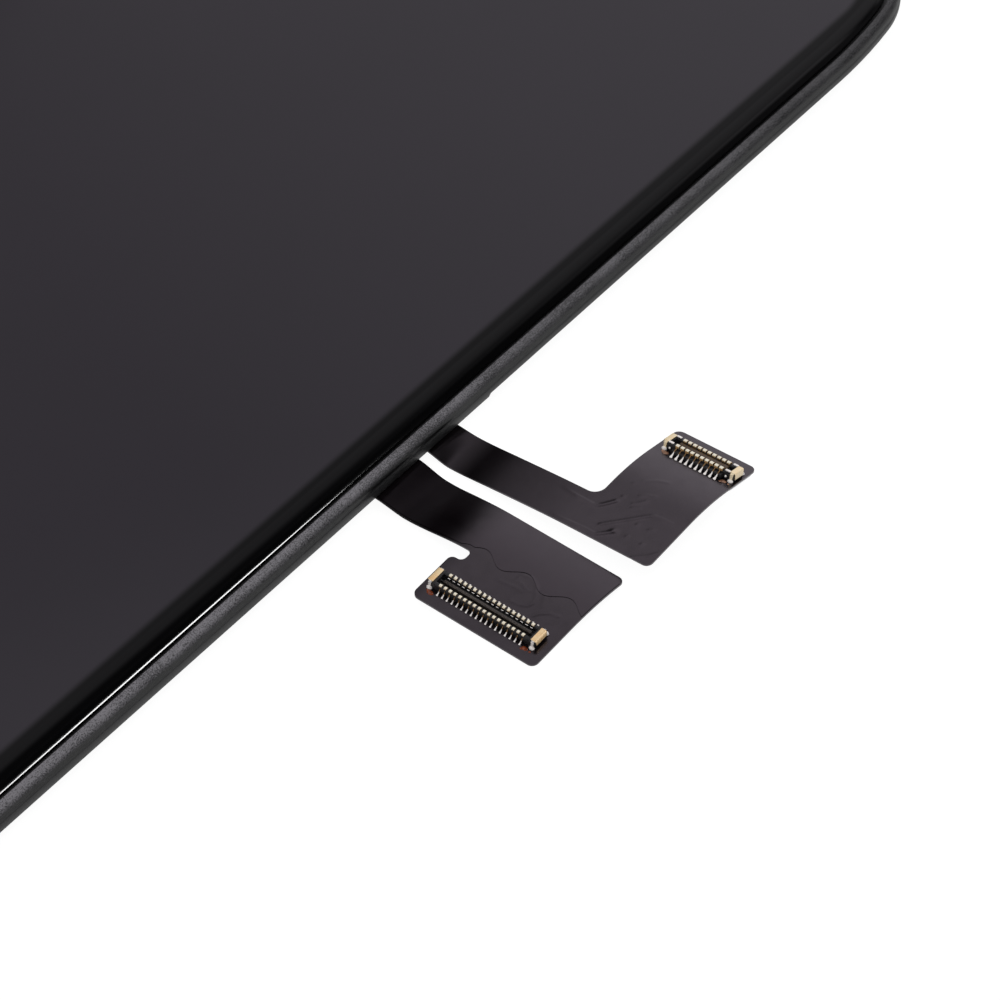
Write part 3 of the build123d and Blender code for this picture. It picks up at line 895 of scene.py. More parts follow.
@dataclass(frozen=True)
class FilmShape:
    """Upper face of one flex circuit: how it leaves the module, dips, rises and bends across."""

    near: float
    strip_edge: float
    knots: tuple[Knot, ...]
    lift_x: float
    lift: float
    climb: float
    start_tilt: float
    end_tilt: float
    bend_start: float
    bend_end: float

    def rise(self, across: np.ndarray) -> np.ndarray:
        """Height of the upper face where the wide end starts.

        Args:
            across: Places across the film, in millimetres.

        Returns:
            The height at each place.
        """
        span = self.bend_end - self.bend_start
        share = np.clip((across - self.bend_start) / span, 0.0, 1.0)
        lean = self.start_tilt + (self.end_tilt - self.start_tilt) * share
        straight = self.start_tilt * (np.minimum(across, self.bend_start) - self.near)
        bent = span * share * (self.start_tilt + lean) / 2
        beyond = self.end_tilt * np.maximum(across - self.bend_end, 0.0)
        return self.lift + straight + bent + beyond

    def height(self, along: np.ndarray, across: np.ndarray) -> np.ndarray:
        """Height of the upper face.

        Args:
            along: Distances from the middle of the module, in millimetres.
            across: Places across the film.

        Returns:
            The heights.
        """
        rise = self.rise(across)
        ways = [(knot.x, knot.height + knot.tilt * (across - self.strip_edge), knot.slope)
                for knot in self.knots] + [(self.lift_x, rise, self.climb)]
        result = np.where(along < ways[0][0], ways[0][1], rise + self.climb * (along - self.lift_x))
        for (x0, low, slope0), (x1, high, slope1) in zip(ways, ways[1:]):
            run = x1 - x0
            part = np.clip((along - x0) / run, 0.0, 1.0)
            square, cube = part ** 2, part ** 3
            curve = ((2 * cube - 3 * square + 1) * low + (cube - 2 * square + part) * run * slope0
                     + (3 * square - 2 * cube) * high + (cube - square) * run * slope1)
            result = np.where((along >= x0) & (along < x1), curve, result)
        return result


@dataclass(frozen=True)
class Trace:
    """One conductor pressed through the cover layer: its route, width and height.

    It stands higher by press, as the cover layer bridges over it, and starts over a length of fade.
    """

    route: tuple[Flat, ...]
    width: float = 0.16
    height: float = 0.022
    press: float = 1.35
    fade: float = 0.0

    def relief(self, along: np.ndarray, across: np.ndarray) -> np.ndarray:
        """Height that the conductor adds to the film.

        Args:
            along: Distances from the middle of the module, in millimetres.
            across: Places across the film.

        Returns:
            The height at each place.
        """
        nearest = np.full_like(along, 1e3)
        for (x0, y0), (x1, y1) in zip(self.route, self.route[1:]):
            run = (x1 - x0) ** 2 + (y1 - y0) ** 2
            share = np.clip(((along - x0) * (x1 - x0) + (across - y0) * (y1 - y0)) / run, 0.0, 1.0)
            away = np.hypot(along - x0 - share * (x1 - x0), across - y0 - share * (y1 - y0))
            nearest = np.minimum(nearest, away)
        share = np.clip((self.width - nearest) / (self.width * 0.75), 0.0, 1.0)
        if self.fade:
            share = share * np.clip((along - self.route[0][0]) / self.fade, 0.0, 1.0)
        return self.press * self.height * share * share * (3 - 2 * share)


def rounded(corners: Sequence[tuple[float, float, float]], steps: int = 8) -> list[Flat]:
    """Round the corners of a flat outline.

    Args:
        corners: X, Y and radius of each corner, in order round the outline.
        steps: Faces round each corner.

    Returns:
        The outline's points.
    """
    points = []
    for index, (x, y, radius) in enumerate(corners):
        if radius <= 0:
            points.append((x, y))
            continue
        ways = []
        for other in (corners[index - 1], corners[(index + 1) % len(corners)]):
            gap = math.hypot(other[0] - x, other[1] - y)
            ways.append(((other[0] - x) / gap, (other[1] - y) / gap))
        cosine = ways[0][0] * ways[1][0] + ways[0][1] * ways[1][1]
        half = math.acos(max(-1.0, min(1.0, cosine))) / 2
        reach = radius / math.tan(half)
        middle = ((ways[0][0] + ways[1][0]), (ways[0][1] + ways[1][1]))
        size = math.hypot(*middle)
        centre = (x + middle[0] / size * radius / math.sin(half),
                  y + middle[1] / size * radius / math.sin(half))
        start = math.atan2(y + ways[0][1] * reach - centre[1], x + ways[0][0] * reach - centre[0])
        end = math.atan2(y + ways[1][1] * reach - centre[1], x + ways[1][0] * reach - centre[0])
        turn = (end - start + math.pi) % (2 * math.pi) - math.pi
        for step in range(steps + 1):
            angle = start + turn * step / steps
            points.append((centre[0] + radius * math.cos(angle),
                           centre[1] + radius * math.sin(angle)))
    return points


@dataclass
class FilmSheet:
    """One layer of a flex circuit, cut from a fine flat sheet and laid over the film's shape."""

    name: str
    shape: FilmShape
    outline: list[Flat]
    low: float
    high: float
    cell: float = 0.10
    traces: tuple[Trace, ...] = ()
    spare: float = 1.0

    def build(self) -> Piece:
        """Cut the sheet out flat, then lift each of its vertices to its place.

        Returns:
            The finished sheet, still without a material.
        """
        xs, ys = zip(*self.outline)
        size = (max(xs) - min(xs) + 2 * self.cell, max(ys) - min(ys) + 2 * self.cell)
        middle = ((max(xs) + min(xs)) / 2, (max(ys) + min(ys)) / 2)
        select_only()
        bpy.ops.mesh.primitive_grid_add(x_subdivisions=int(size[0] / self.cell),
                                        y_subdivisions=int(size[1] / self.cell), size=1.0,
                                        location=(middle[0] * MM, middle[1] * MM, self.low * MM))
        sheet = size_up(self.name, (*size, 1.0))
        bpy.ops.mesh.extrude_region_move(
            TRANSFORM_OT_translate={"value": (0.0, 0.0, (self.high - self.low) * MM)})
        close_up(sheet)
        floor = [(x, y, self.low - self.spare) for x, y in self.outline]
        cutter = start_ring("cutter", floor, True)
        carry_on(cutter, floor, [(x, y, self.high + self.spare) for x, y in self.outline])
        close_up(cutter)
        cut(sheet, cutter, "INTERSECT")
        places = np.empty(len(sheet.data.vertices) * 3)
        sheet.data.vertices.foreach_get("co", places)
        places = places.reshape(-1, 3) / MM
        rise = self.shape.height(places[:, 0], places[:, 1])
        for trace in self.traces:
            rise = rise + trace.relief(places[:, 0], places[:, 1])
        places[:, 2] += rise
        sheet.data.vertices.foreach_set("co", (places * MM).ravel())
        sheet.data.update()
        smooth(sheet, CREASE)
        return sheet


DISPLAY_SHAPE = FilmShape(
    near=6.47, strip_edge=10.99, lift_x=41.0, lift=0.62, climb=0.0, start_tilt=0.065,
    end_tilt=-0.19, bend_start=9.85, bend_end=14.94,
    knots=(Knot(32.3, 0.50), Knot(33.9, 0.66), Knot(36.3, 0.38, 0.0, -0.050),
           Knot(37.4, 0.46, 0.115, -0.060)))
TOUCH_SHAPE = FilmShape(
    near=15.92, strip_edge=15.92, lift_x=44.4, lift=1.05, climb=0.065, start_tilt=0.085,
    end_tilt=-0.22, bend_start=19.75, bend_end=23.60,
    knots=(Knot(32.3, 0.50), Knot(33.6, 0.50), Knot(35.6, 0.15, 0.03, 0.090),
           Knot(38.6, 0.46, 0.115, 0.085)))

DISPLAY_TRACES = (
    Trace(((44.61, 10.98), (44.70, 11.40), (45.25, 11.52), (45.80, 11.22), (46.27, 10.53),
           (46.44, 10.07), (46.27, 9.70), (45.78, 9.50), (45.20, 9.44)), 0.13, 0.010),
    Trace(((43.75, 10.23), (44.29, 10.30), (44.99, 10.41), (45.41, 10.38)), 0.12, 0.009),
    Trace(((44.49, 10.71), (44.90, 10.86), (45.65, 10.57), (45.94, 10.79)), 0.12, 0.008),
    Trace(((46.95, 9.30), (47.13, 9.62), (47.63, 10.05), (48.20, 10.16)), 0.13, 0.010),
    Trace(((46.60, 10.90), (46.90, 10.50), (46.95, 10.10)), 0.12, 0.008),
)
TOUCH_TRACES = (
    Trace(((41.98, 18.14), (43.41, 18.00), (44.57, 17.97),
           (44.90, 18.07), (45.14, 18.31), (45.61, 18.94)), 0.16, 0.020, fade=1.6),
    Trace(((42.60, 16.22), (43.69, 16.12), (45.26, 16.23), (46.05, 16.21),
           (46.42, 16.49), (46.85, 16.95)), 0.16, 0.020, fade=1.6),
    Trace(((46.88, 16.98), (46.93, 17.03)), 0.34, 0.014),
    Trace(((45.88, 16.96), (46.31, 17.40), (47.21, 18.31), (47.70, 18.83), (48.05, 19.15),
           (48.45, 19.23), (49.30, 19.25)), 0.14, 0.016),
    Trace(((45.55, 20.57), (46.07, 21.14), (46.67, 21.60), (47.20, 21.80)), 0.13, 0.011),
    Trace(((46.49, 19.96), (46.82, 20.23), (47.30, 20.40)), 0.12, 0.011),
    Trace(((46.50, 19.24), (46.74, 19.40), (47.09, 19.87)), 0.12, 0.011),
    Trace(((46.66, 18.96), (47.05, 19.23)), 0.12, 0.010),
    Trace(((48.91, 15.93), (49.66, 16.55), (50.07, 17.09)), 0.13, 0.012),
    Trace(((45.71, 19.39), (45.74, 19.42)), 0.14, 0.014),
    Trace(((47.71, 18.12), (47.74, 18.15)), 0.14, 0.014),
    Trace(((47.74, 17.08), (47.77, 17.11)), 0.14, 0.014),
    Trace(((48.81, 17.06), (48.84, 17.09)), 0.14, 0.014),
    Trace(((48.52, 18.14), (48.75, 18.30)), 0.12, 0.012),
)


@dataclass
class FlexCircuits:
    """Both flex circuits: the film of each, and the shield film on the display's."""

    display: Material
    touch: Material
    shield: Material
    film_thickness: float = 0.12
    shield_thickness: float = 0.03
    corner: float = 0.45
    root: float = 25.5
    display_tip: float = 49.30
    touch_tip: float = 50.18
    touch_neck: float = 44.45
    inner: float = 0.36
    wave_start: float = 41.20
    wave_crest: float = 41.85
    wave_length: float = 3.05
    wave_height: float = 0.74
    wave_middle: float = 11.26
    wave_end: float = 49.24
    wave_steps: int = 72

    def wave(self) -> list[Flat]:
        """Free edge of the shield film, which runs across the wide end in even waves.

        Returns:
            The points of the edge.
        """
        points = []
        for step in range(self.wave_steps + 1):
            x = self.wave_start + (self.wave_end - self.wave_start) * step / self.wave_steps
            turn = 2 * math.pi * (x - self.wave_crest) / self.wave_length
            points.append((x, self.wave_middle + self.wave_height / 2 * math.cos(turn)))
        return points

    def build(self) -> None:
        """Make the films and put them in place of the plain ones."""
        near, strip, far = DISPLAY_SHAPE.near, DISPLAY_SHAPE.strip_edge, DISPLAY_SHAPE.bend_end
        relief, turn = 10.07, self.corner
        display = rounded(((self.root, far, turn), (self.root, strip, turn),
                           (41.28, strip, self.inner), (41.28, relief, self.inner),
                           (40.46, relief, self.inner), (40.46, near, turn),
                           (self.display_tip, near, turn), (self.display_tip, far, turn)))
        over = [(32.3, 14.86), (32.3, 11.09), (40.35, 11.12), (40.80, 11.34)] + self.wave()
        over += [(self.wave_end, 14.46), (49.12, 14.74), (48.84, 14.86)]
        near, far, strip = TOUCH_SHAPE.near, 26.45, 18.68
        touch = rounded(((self.root, strip, turn), (self.root, near, turn),
                         (self.touch_tip, near, turn), (self.touch_tip, far, turn),
                         (self.touch_neck, far, turn), (self.touch_neck, strip, 0.75)))
        under = (-self.film_thickness, 0.0)
        for name, shape, outline, heights, traces, finish, slot, node in (
                ("display_film", DISPLAY_SHAPE, display, under, DISPLAY_TRACES, self.display,
                 "flex_film", "display_flex"),
                ("wavy_shield_film", DISPLAY_SHAPE, over, (0.0, self.shield_thickness),
                 DISPLAY_TRACES, self.shield, "shield_film", "display_shield"),
                ("touch_film", TOUCH_SHAPE, touch, under, TOUCH_TRACES, self.touch,
                 "flex_film", "touch_flex")):
            film = FilmSheet(name, shape, outline, *heights, traces=traces).build()
            hand_over(film, finish, slot, node)


def place(piece: Piece, matrix: Matrix) -> Piece:
    """Carry a piece's mesh to its place, which leaves the object itself at the origin."""
    piece.data.transform(matrix)
    return piece


def repeat(piece: Piece, matrices: Sequence[Matrix]) -> Piece:
    """Copy a finished piece to several places and join the copies.

    Args:
        piece: The piece, which is used up.
        matrices: Where each copy goes.

    Returns:
        One object with all the copies.
    """
    copies = []
    for matrix in matrices:
        twin = piece.copy()
        twin.data = piece.data.copy()
        bpy.context.scene.collection.objects.link(twin)
        copies.append(place(twin, matrix))
    bpy.data.objects.remove(piece)
    return joined(copies)


def joined(pieces: Sequence[Piece]) -> Piece:
    """Join finished pieces into one object, with every normal outwards.

    Args:
        pieces: The pieces.

    Returns:
        The one object.
    """
    select_only(pieces)
    if len(pieces) > 1:
        bpy.ops.object.join()
    whole = bpy.context.object
    bpy.ops.object.mode_set(mode="EDIT")
    close_up(whole, CREASE)
    return whole


def shift(along: float, across: float, up: float = 0.0, flip: bool = False) -> Matrix:
    """Move in millimetres, after a mirror from side to side where it is asked for."""
    move = Matrix.Translation((along * MM, across * MM, up * MM))
    return move @ Matrix.Scale(-1.0, 4, (0.0, 1.0, 0.0)) if flip else move


def ribbon(name: str, path: Sequence[Flat], widths: Sequence[float],
           thickness: float, rounding: float = 0.012) -> Piece:
    """Bent metal strip of changing width, extruded step by step along its path.

    Args:
        name: Name of the piece.
        path: Middle line of the strip, as distances across and up.
        widths: Width at each point of the path, taken along the connector.
        thickness: Thickness of the metal.
        rounding: Radius of its edges.

    Returns:
        The strip.
    """
    rings = []
    for index, (across, up) in enumerate(path):
        before, after = path[max(index - 1, 0)], path[min(index + 1, len(path) - 1)]
        run = math.hypot(after[0] - before[0], after[1] - before[1])
        out = (before[1] - after[1]) / run * thickness / 2
        rise = (after[0] - before[0]) / run * thickness / 2
        half = widths[index] / 2
        rings.append([(-half, across + out, up + rise), (half, across + out, up + rise),
                      (half, across - out, up - rise), (-half, across - out, up - rise)])
    piece = start_ring(name, rings[0], True)
    for before, after in zip(rings, rings[1:]):
        carry_on(piece, before, after)
    close_up(piece)
    soften(piece, rounding, 50)
    return piece


def block(name: str, centre: Point, size: Point, rounding: float) -> Piece:
    """Rounded block.

    Args:
        name: Name of the piece.
        centre: Its middle, along, across and up.
        size: Its size in the same directions.
        rounding: Radius of its edges.

    Returns:
        The block.
    """
    select_only()
    bpy.ops.mesh.primitive_cube_add(size=1.0, location=[part * MM for part in centre])
    piece = size_up(name, size)
    bpy.ops.mesh.bevel(offset=rounding * MM, segments=3, affect="EDGES")
    close_up(piece, CREASE)
    return piece


def bead(name: str, centre: Point, size: Point) -> Piece:
    """Drop of solder or flux: a sphere pressed to a size.

    Args:
        name: Name of the piece.
        centre: Its middle, along, across and up.
        size: Its size in the same directions.

    Returns:
        The drop.
    """
    select_only()
    bpy.ops.mesh.primitive_uv_sphere_add(segments=20, ring_count=12, radius=0.5,
                                         location=[part * MM for part in centre])
    piece = size_up(name, size)
    close_up(piece, 60.0)
    return piece


@dataclass(frozen=True)
class Pins:
    """Shape of one connector's contacts, seen from its side."""

    count: int
    row: float
    top_width: float
    top_depth: float
    leg_width: float
    front: float
    tail_start: Flat
    tail_end: float
    tail_widths: tuple[float, float, float]
    pitch: float = 0.35
    height: float = 0.58
    metal: float = 0.05
    inner_drop: float = 0.11
    bend: float = 0.03

    def places(self) -> list[float]:
        """Places of the contacts along the connector."""
        return [(index - (self.count - 1) / 2) * self.pitch for index in range(self.count)]

    def strip(self, part: str) -> Piece:
        """Make one strip of a contact, at the middle of the row.

        Args:
            part: "pad" for the top, up inside the wall, over it and a little way down its front;
                "leg" for the narrow strip from there down to the tail; "tail" for the soldered end,
                which spreads out towards the film.

        Returns:
            The strip.
        """
        half = (self.top_depth - self.metal) / 2
        top = self.height - self.metal / 2
        inner, outer = self.row - half, self.row + half
        out, up = self.tail_start
        start, run = self.row + out, self.tail_end - out
        thin, middle, wide = self.tail_widths
        path, widths, metal, rounding = {
            "pad": (((inner, top - self.inner_drop), (inner, top - self.bend),
                     (inner + self.bend, top), (outer - self.bend, top), (outer, top - self.bend),
                     (outer, top - self.front)), [self.top_width] * 6, self.metal, 0.016),
            "leg": (((outer, self.height - self.front + 0.02), (outer + 0.02, up + 0.16),
                     (start - 0.05, up + 0.03), (start + 0.03, up - 0.02)),
                    [self.leg_width] * 4, 0.04, 0.010),
            "tail": (((start, up), (start + run * 0.25, up * 0.62),
                      (start + run * 0.60, up * 0.30 + 0.012), (start + run * 0.88, 0.035),
                      (self.row + self.tail_end, 0.020)),
                     (thin, (thin + middle) / 2, middle, wide, wide * 0.7), 0.055, 0.018),
        }[part]
        return ribbon(part, path, widths, metal, rounding)


@dataclass
class BoardConnector:
    """One low board-to-board connector: contacts, solder, hold-down tabs and housing."""

    name: str
    shape: FilmShape
    x: float
    y: float
    pins: Pins
    tab_reach: float
    tab_drop: float
    ridge: Flat
    dress: dict[str, str]
    finish: Callable[[str], Material]
    arm: float = 0.0
    skirt: float = 0.0
    tab_width: float = 0.38
    strip: float = 0.05
    drop: Point = (0.36, 0.28, 0.26)
    ball: Point = (0.13, 0.13, 0.15)
    dash: Point = (0.17, 0.036, 0.032)

    def seat(self) -> Matrix:
        """Carry from the connector's own directions to its place on the film.

        Returns:
            The matrix, with its shift in metres.
        """
        step = 0.01
        places = [(self.x, self.y), (self.x + step, self.y), (self.x, self.y + step)]
        heights = [float(self.shape.height(np.array([x]), np.array([y]))[0]) for x, y in places]
        along = Vector((step, 0.0, heights[1] - heights[0])).normalized()
        up = Vector((heights[0] - heights[1], heights[0] - heights[2], step)).normalized()
        turn = Matrix((along, up.cross(along), up)).transposed().to_4x4()
        return Matrix.Translation((self.x * MM, self.y * MM, heights[0] * MM)) @ turn

    def fit(self, piece: Piece, name: str, part: str, slot: str, *nodes: str) -> None:
        """Name a finished piece, carry it to its place on the film and hand it over."""
        piece.name = name
        hand_over(place(piece, self.seat()), self.finish(self.dress[part]), slot, *nodes)

    def rows(self, piece: Piece) -> Piece:
        """Set copies of a piece along both rows."""
        return repeat(piece, [shift(along, 0.0, 0.0, flip)
                              for flip in (False, True) for along in self.pins.places()])

    def corners(self, piece: Piece, along: float, across: float) -> Piece:
        """Set copies of a piece at four places about the connector's middle."""
        return repeat(piece, [shift(end * along, side * across)
                              for end in (-1, 1) for side in (-1, 1)])

    def contacts(self) -> None:
        """Gold contacts in two rows."""
        for part in ("pad", "leg"):
            self.fit(self.rows(self.pins.strip(part)), f"fine_{self.name}_{part}s", part,
                     "contact_gold", f"{self.name}_contacts")

    def tabs(self) -> None:
        """Hold-down tabs: a plate over each end, bent down at its outer edge."""
        outer, height = self.tab_reach, self.pins.height
        depth = 2 * self.pins.row + 0.12
        path = ((outer - self.tab_width, height - 0.025), (outer - 0.09, height - 0.025),
                (outer - 0.035, height - 0.045), (outer - 0.02, height - 0.11),
                (outer - 0.02, height - self.tab_drop))
        widths = [depth * share for share in (1.0, 1.0, 0.99, 0.95, 0.86)]
        plates = [place(ribbon("plate", path, widths, self.strip, 0.018),
                        Matrix.Rotation(math.radians(end), 4, "Z")) for end in (-90.0, 90.0)]
        self.fit(joined(plates), f"fine_{self.name}_tabs", "tab", "contact_gold",
                 f"{self.name}_hold_downs")

    def solder(self) -> None:
        """Soldered tails and feet, with the fine bright parts beside them."""
        pieces = [self.rows(self.pins.strip("tail"))]
        middle = self.tab_reach - self.tab_width * 0.55
        row, height = self.pins.row, self.pins.height
        leg = ((row + 0.02, height - 0.035), (row + 0.12, height - 0.10), (row + 0.16, 0.26),
               (row + 0.17, 0.08), (row + 0.30, 0.03))
        foot = ribbon("foot", leg, (0.22, 0.21, 0.18, 0.20, 0.24), self.strip, 0.018)
        feet = repeat(foot, [shift(end * middle, 0.0, 0.0, flip)
                             for end in (-1, 1) for flip in (False, True)])
        if self.arm:
            self.fit(feet, f"{self.name}_feet", "tab", "contact_gold")
        else:
            pieces.append(feet)
        pieces.append(self.corners(bead("drop", (0.0, 0.0, 0.05), self.drop), middle, row + 0.20))
        if self.arm:
            inner = self.tab_reach - self.tab_width - self.arm / 2
            arm = block("arm", (0.0, 0.0, height - 0.02), (self.arm, 0.15, 0.06), 0.018)
            pieces.append(self.corners(arm, inner, row + 0.02))
            ball = bead("ball", (0.0, 0.0, 0.24), self.ball)
            pieces.append(repeat(ball, [shift(end * (inner - 0.02), -row - 0.19)
                                        for end in (-1, 1)]))
        else:
            dash = block("dash", (0.0, 0.0, 0.0), self.dash, 0.008)
            across = row - self.pins.top_depth / 2 - 0.09
            pieces.append(repeat(dash, [shift(along, across, 0.42)
                                        for along in self.pins.places()]))
        self.fit(joined(pieces), f"{self.name}_solder", "solder", "contact_gold")

    def flux(self) -> None:
        """Flux left beside the soldered feet."""
        row = self.pins.row
        inner = self.tab_reach - self.tab_width - 0.12
        spots = [bead("spot", (along, -row - away, 0.0), size) for along, away, size in (
            (-inner - 0.02, 0.46, (0.46, 0.30, 0.06)), (-inner - 0.22, 0.36, (0.30, 0.22, 0.05)),
            (inner - 0.04, 0.42, (0.42, 0.28, 0.06)), (inner + 0.34, 0.46, (0.16, 0.12, 0.05)),
            (inner - 0.20, 0.54, (0.20, 0.12, 0.04)))]
        self.fit(joined(spots), f"{self.name}_flux", "flux", "flex_film")

    def housing(self) -> None:
        """Moulded housing with rounded edges, its ridge and the ledge that the tails rest on."""
        node = f"{self.name}_connector_housing"
        body = refined_copy(node, 0.015)
        end = self.pins.places()[-1]
        if self.skirt:
            ledge = block("ledge", (0.0, 0.0, 0.15), (2 * (end + 0.22), self.skirt, 0.30), 0.03)
            out = self.pins.row + 0.10 + self.skirt / 2
            ledges = repeat(ledge, [shift(0.0, side * out) for side in (-1, 1)])
            body = joined([body, place(ledges, self.seat())])
            body.name = f"fine_{node}"
        hand_over(body, self.finish(self.dress["plastic"]), "connector_plastic", node)
        width, top = self.ridge
        size = (2 * (end + 0.16), width, top - 0.14)
        ridge = block("ridge", (0.0, 0.02, top / 2 + 0.07), size, 0.02)
        self.fit(ridge, f"{self.name}_ridge", "ridge", "connector_plastic")

    def build(self) -> None:
        """Make every part of the connector."""
        self.housing()
        self.contacts()
        self.tabs()
        self.solder()
        self.flux()


DISPLAY_PINS = Pins(count=18, row=0.457, top_width=0.19, top_depth=0.21, leg_width=0.05, front=0.09,
                    tail_start=(0.20, 0.19), tail_end=0.44, tail_widths=(0.05, 0.085, 0.13))
TOUCH_PINS = Pins(count=10, row=0.379, top_width=0.245, top_depth=0.23, leg_width=0.06, front=0.16,
                  tail_start=(0.36, 0.28), tail_end=0.70, tail_widths=(0.03, 0.12, 0.19))
# Finish of each part that both connectors share
SHARED = {"pad": "pad_gold", "leg": "bronze", "solder": "solder", "plastic": "connector_plastic"}
CONNECTORS: tuple[dict[str, object], ...] = (
    {"name": "display", "shape": DISPLAY_SHAPE, "x": 44.70, "y": 8.10, "pins": DISPLAY_PINS,
     "tab_reach": 3.91, "tab_drop": 0.36, "ridge": (0.20, 0.38),
     "dress": {**SHARED, "tab": "tab_gold", "flux": "flux", "ridge": "ridge_grey"}},
    {"name": "touch", "shape": TOUCH_SHAPE, "x": 47.43, "y": 24.81, "pins": TOUCH_PINS,
     "tab_reach": 2.60, "tab_drop": 0.44, "ridge": (0.36, 0.43), "arm": 0.34, "skirt": 0.26,
     "dress": {**SHARED, "tab": "tab_pale", "flux": "copper_flux", "ridge": "ridge_gold"}},
)


@dataclass
class Module:
    """The whole display module, with every piece in its finish."""

    finishes: dict[str, object]
    dress: dict[str, tuple[str, ...]]
    made: dict[str, Material] = field(default_factory=dict)

    def material(self, finish: str) -> Material:
        """Build a finish once and hand it over each time.

        Args:
            finish: Name of the finish.

        Returns:
            Its material.
        """
        if finish not in self.made:
            self.made[finish] = self.finishes[finish].material()
        return self.made[finish]

    def build(self) -> None:
        """Dress every carried-over piece, then make the pieces that need finer shapes."""
        for finish, nodes in self.dress.items():
            for node in nodes:
                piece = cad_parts[node]
                piece.data.materials.clear()
                piece.data.materials.append(self.material(finish))
                log.info("dressed %s in %s", node, finish)
        outline = ModuleOutline()
        CoverGlass(outline, self.material("cover_glass")).build()
        BezelFrame(outline, self.material("bezel_frame")).build()
        films = [self.material(name) for name in ("display_flex", "touch_flex", "display_shield")]
        FlexCircuits(*films).build()
        for connector in CONNECTORS:
            BoardConnector(finish=self.material, **connector).build()


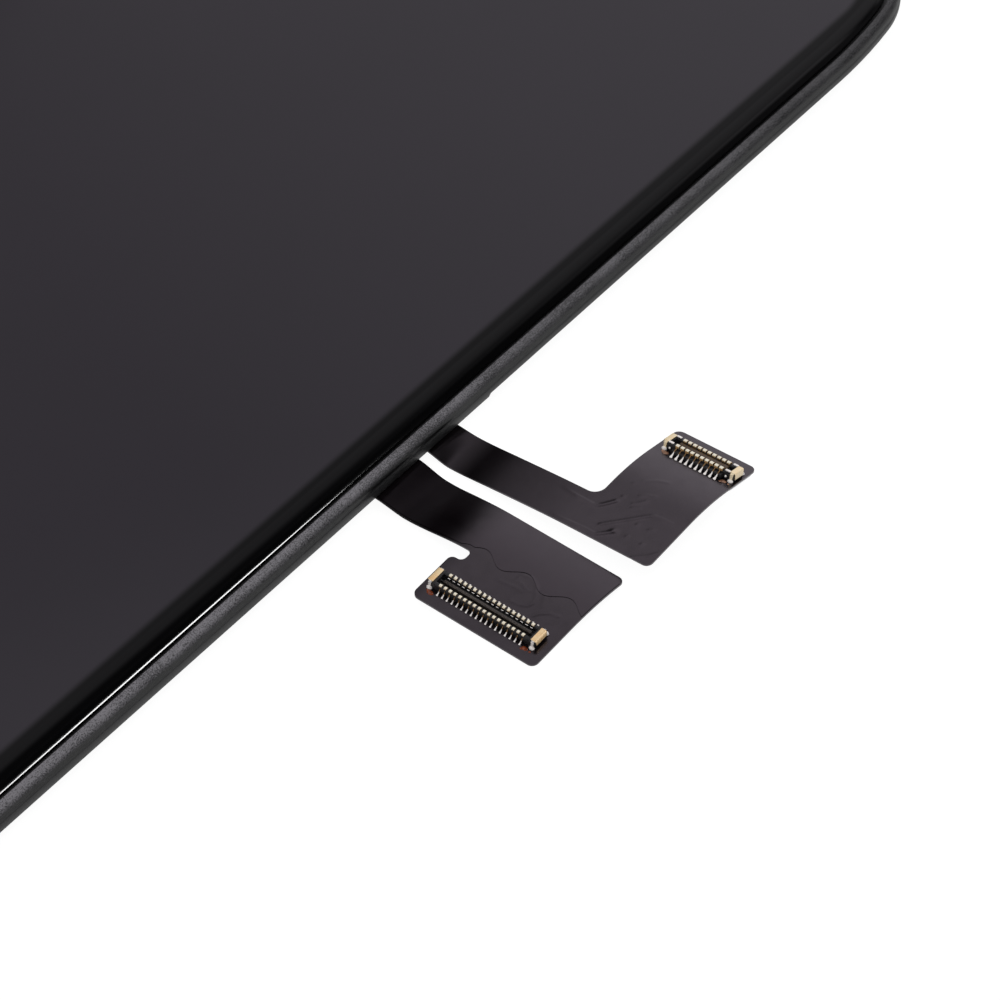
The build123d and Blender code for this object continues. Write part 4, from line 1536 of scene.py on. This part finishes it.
@dataclass
class Studio:
    """Camera, lamp, floor and surroundings.

    The studio that shows in reflections is a pale wall, brighter towards wall_aim and never below
    wall_least. Along the direction slant it is lifted and then falls off, and across X it ends.
    """

    camera_mm: Point = (142.80, -114.066, 176.287)
    elevation: float = 46.729
    azimuth: float = 38.505
    lens: float = 149.806
    lamp_azimuth: float = 30.2
    lamp_height: float = 59.4
    lamp_away: float = 1.0
    lamp_size: Flat = (0.038, 0.17)
    lamp_power: float = 0.66
    sky: float = 0.90
    floor_size: float = 4.0
    floor_grey: float = 0.16
    floor_glow: float = 0.93
    tint: Colour = (1.0, 0.97, 1.02)
    wall_aim: Flat = (-20.0, 30.0)
    wall: Band = (0.80, 1.02, 0.32, 1.08)
    wall_least: float = 0.68
    slant: Point = (0.25, 0.0, 1.0)
    lift: Band = (0.605, 0.66, 1.0, 1.35)
    under: Band = (0.76, 0.86, 1.0, 0.085)
    left: Band = (-0.05, 0.10, 1.0, 0.11)
    edge: Band = (-0.625, -0.560, 0.02, 1.0)

    def direction(self, azimuth: float, height: float) -> Point:
        """Direction by its degrees from +Y towards +X and its degrees above the floor."""
        turn, rise = math.radians(azimuth), math.radians(height)
        return (math.sin(turn) * math.cos(rise), math.cos(turn) * math.cos(rise), math.sin(rise))

    def camera(self) -> None:
        """Put the camera where the photograph was taken from."""
        bpy.ops.object.camera_add(
            location=[part * MM for part in self.camera_mm],
            rotation=(math.radians(90 - self.elevation), 0.0, math.radians(self.azimuth)))
        camera = bpy.context.object
        camera.name = "camera"
        camera.data.lens = self.lens
        camera.data.sensor_width = 36.0
        camera.data.clip_start = 0.01
        camera.data.clip_end = 20.0
        bpy.context.scene.camera = camera

    def lamp(self) -> None:
        """Hang one long soft lamp on the right, which draws the bright line on the glass's edge."""
        aim = Vector(self.direction(self.lamp_azimuth, self.lamp_height))
        along = (Vector((0.0, 1.0, 0.0)) - aim.y * aim).normalized()
        turn = Matrix((along.cross(aim), along, aim)).transposed()
        bpy.ops.object.light_add(type="AREA", location=aim * self.lamp_away,
                                 rotation=turn.to_euler())
        lamp = bpy.context.object
        lamp.name = "soft_lamp"
        lamp.data.shape = "ELLIPSE"
        lamp.data.size, lamp.data.size_y = self.lamp_size
        lamp.data.energy = self.lamp_power

    def floor(self) -> None:
        """Lay the white floor, which stays white for the camera and keeps a soft shadow."""
        bpy.ops.mesh.primitive_plane_add(size=self.floor_size, location=(0.0, 0.0, 0.0))
        floor = bpy.context.object
        floor.name = "studio_floor"
        shader = Shader("floor_white")
        ray = shader.node("LightPath")
        seen = shader.maths("MAXIMUM", ray["Is Camera Ray"], ray["Is Glossy Ray"])
        seen = shader.maths("MAXIMUM", seen, ray["Is Transmission Ray"])
        white = shader.node("BsdfDiffuse", {"Color": (*[self.floor_grey] * 3, 1.0)})[0]
        strength = shader.maths("MULTIPLY", seen, self.floor_glow)
        glow = shader.node("Emission", {"Strength": strength})[0]
        shader.node("OutputMaterial", {0: shader.node("AddShader", {0: white, 1: glow})[0]})
        floor.data.materials.append(shader.material)

    def reflections(self, nodes: Nodes) -> Socket:
        """Work out how bright the studio is in each direction that a surface reflects.

        Args:
            nodes: Node tree of the surroundings.

        Returns:
            The brightness.
        """
        aim = nodes.node("TexCoord")["Generated"]
        forward, slant = [
            nodes.node("VectorMath", {0: aim, 1: way}, operation="DOT_PRODUCT")["Value"]
            for way in (self.direction(*self.wall_aim), self.slant)]
        side = nodes.axes(aim)["X"]
        bright = nodes.maths("MAXIMUM", nodes.ramp(forward, *self.wall, SMOOTH), self.wall_least)
        for way, band in ((slant, self.lift), (slant, self.under),
                          (side, self.left), (side, self.edge)):
            bright = nodes.maths("MULTIPLY", bright, nodes.ramp(way, *band, SMOOTH))
        return bright

    def surroundings(self) -> None:
        """White for the camera, an even sky on matte surfaces and a studio in reflections."""
        world = bpy.data.worlds.new("studio")
        bpy.context.scene.world = world
        world.use_nodes = True
        world.cycles.sampling_method = "NONE"
        nodes = Nodes(world.node_tree)
        white, sky = [nodes.node("Background", {"Strength": strength})[0]
                      for strength in (1.0, self.sky)]
        lit = {"Color": (*self.tint, 1.0), "Strength": self.reflections(nodes)}
        studio = nodes.node("Background", lit)[0]
        ray = nodes.node("LightPath")
        seen = nodes.maths("MAXIMUM", ray["Is Camera Ray"], ray["Is Transmission Ray"])
        soft = nodes.node("MixShader", {0: ray["Is Glossy Ray"], 1: sky, 2: studio})[0]
        shown = nodes.node("MixShader", {0: seen, 1: soft, 2: white})[0]
        nodes.node("OutputWorld", {0: shown})

    def build(self) -> None:
        """Set up the whole studio."""
        self.camera()
        self.lamp()
        self.floor()
        self.surroundings()
        bpy.context.scene.view_settings.view_transform = "Standard"
        log.info("studio ready")


def main() -> None:
    """Build the studio and the module in order."""
    select_only()
    Studio().build()
    Module(FINISHES, DRESS).build()


if __name__ == "__main__":
    main()
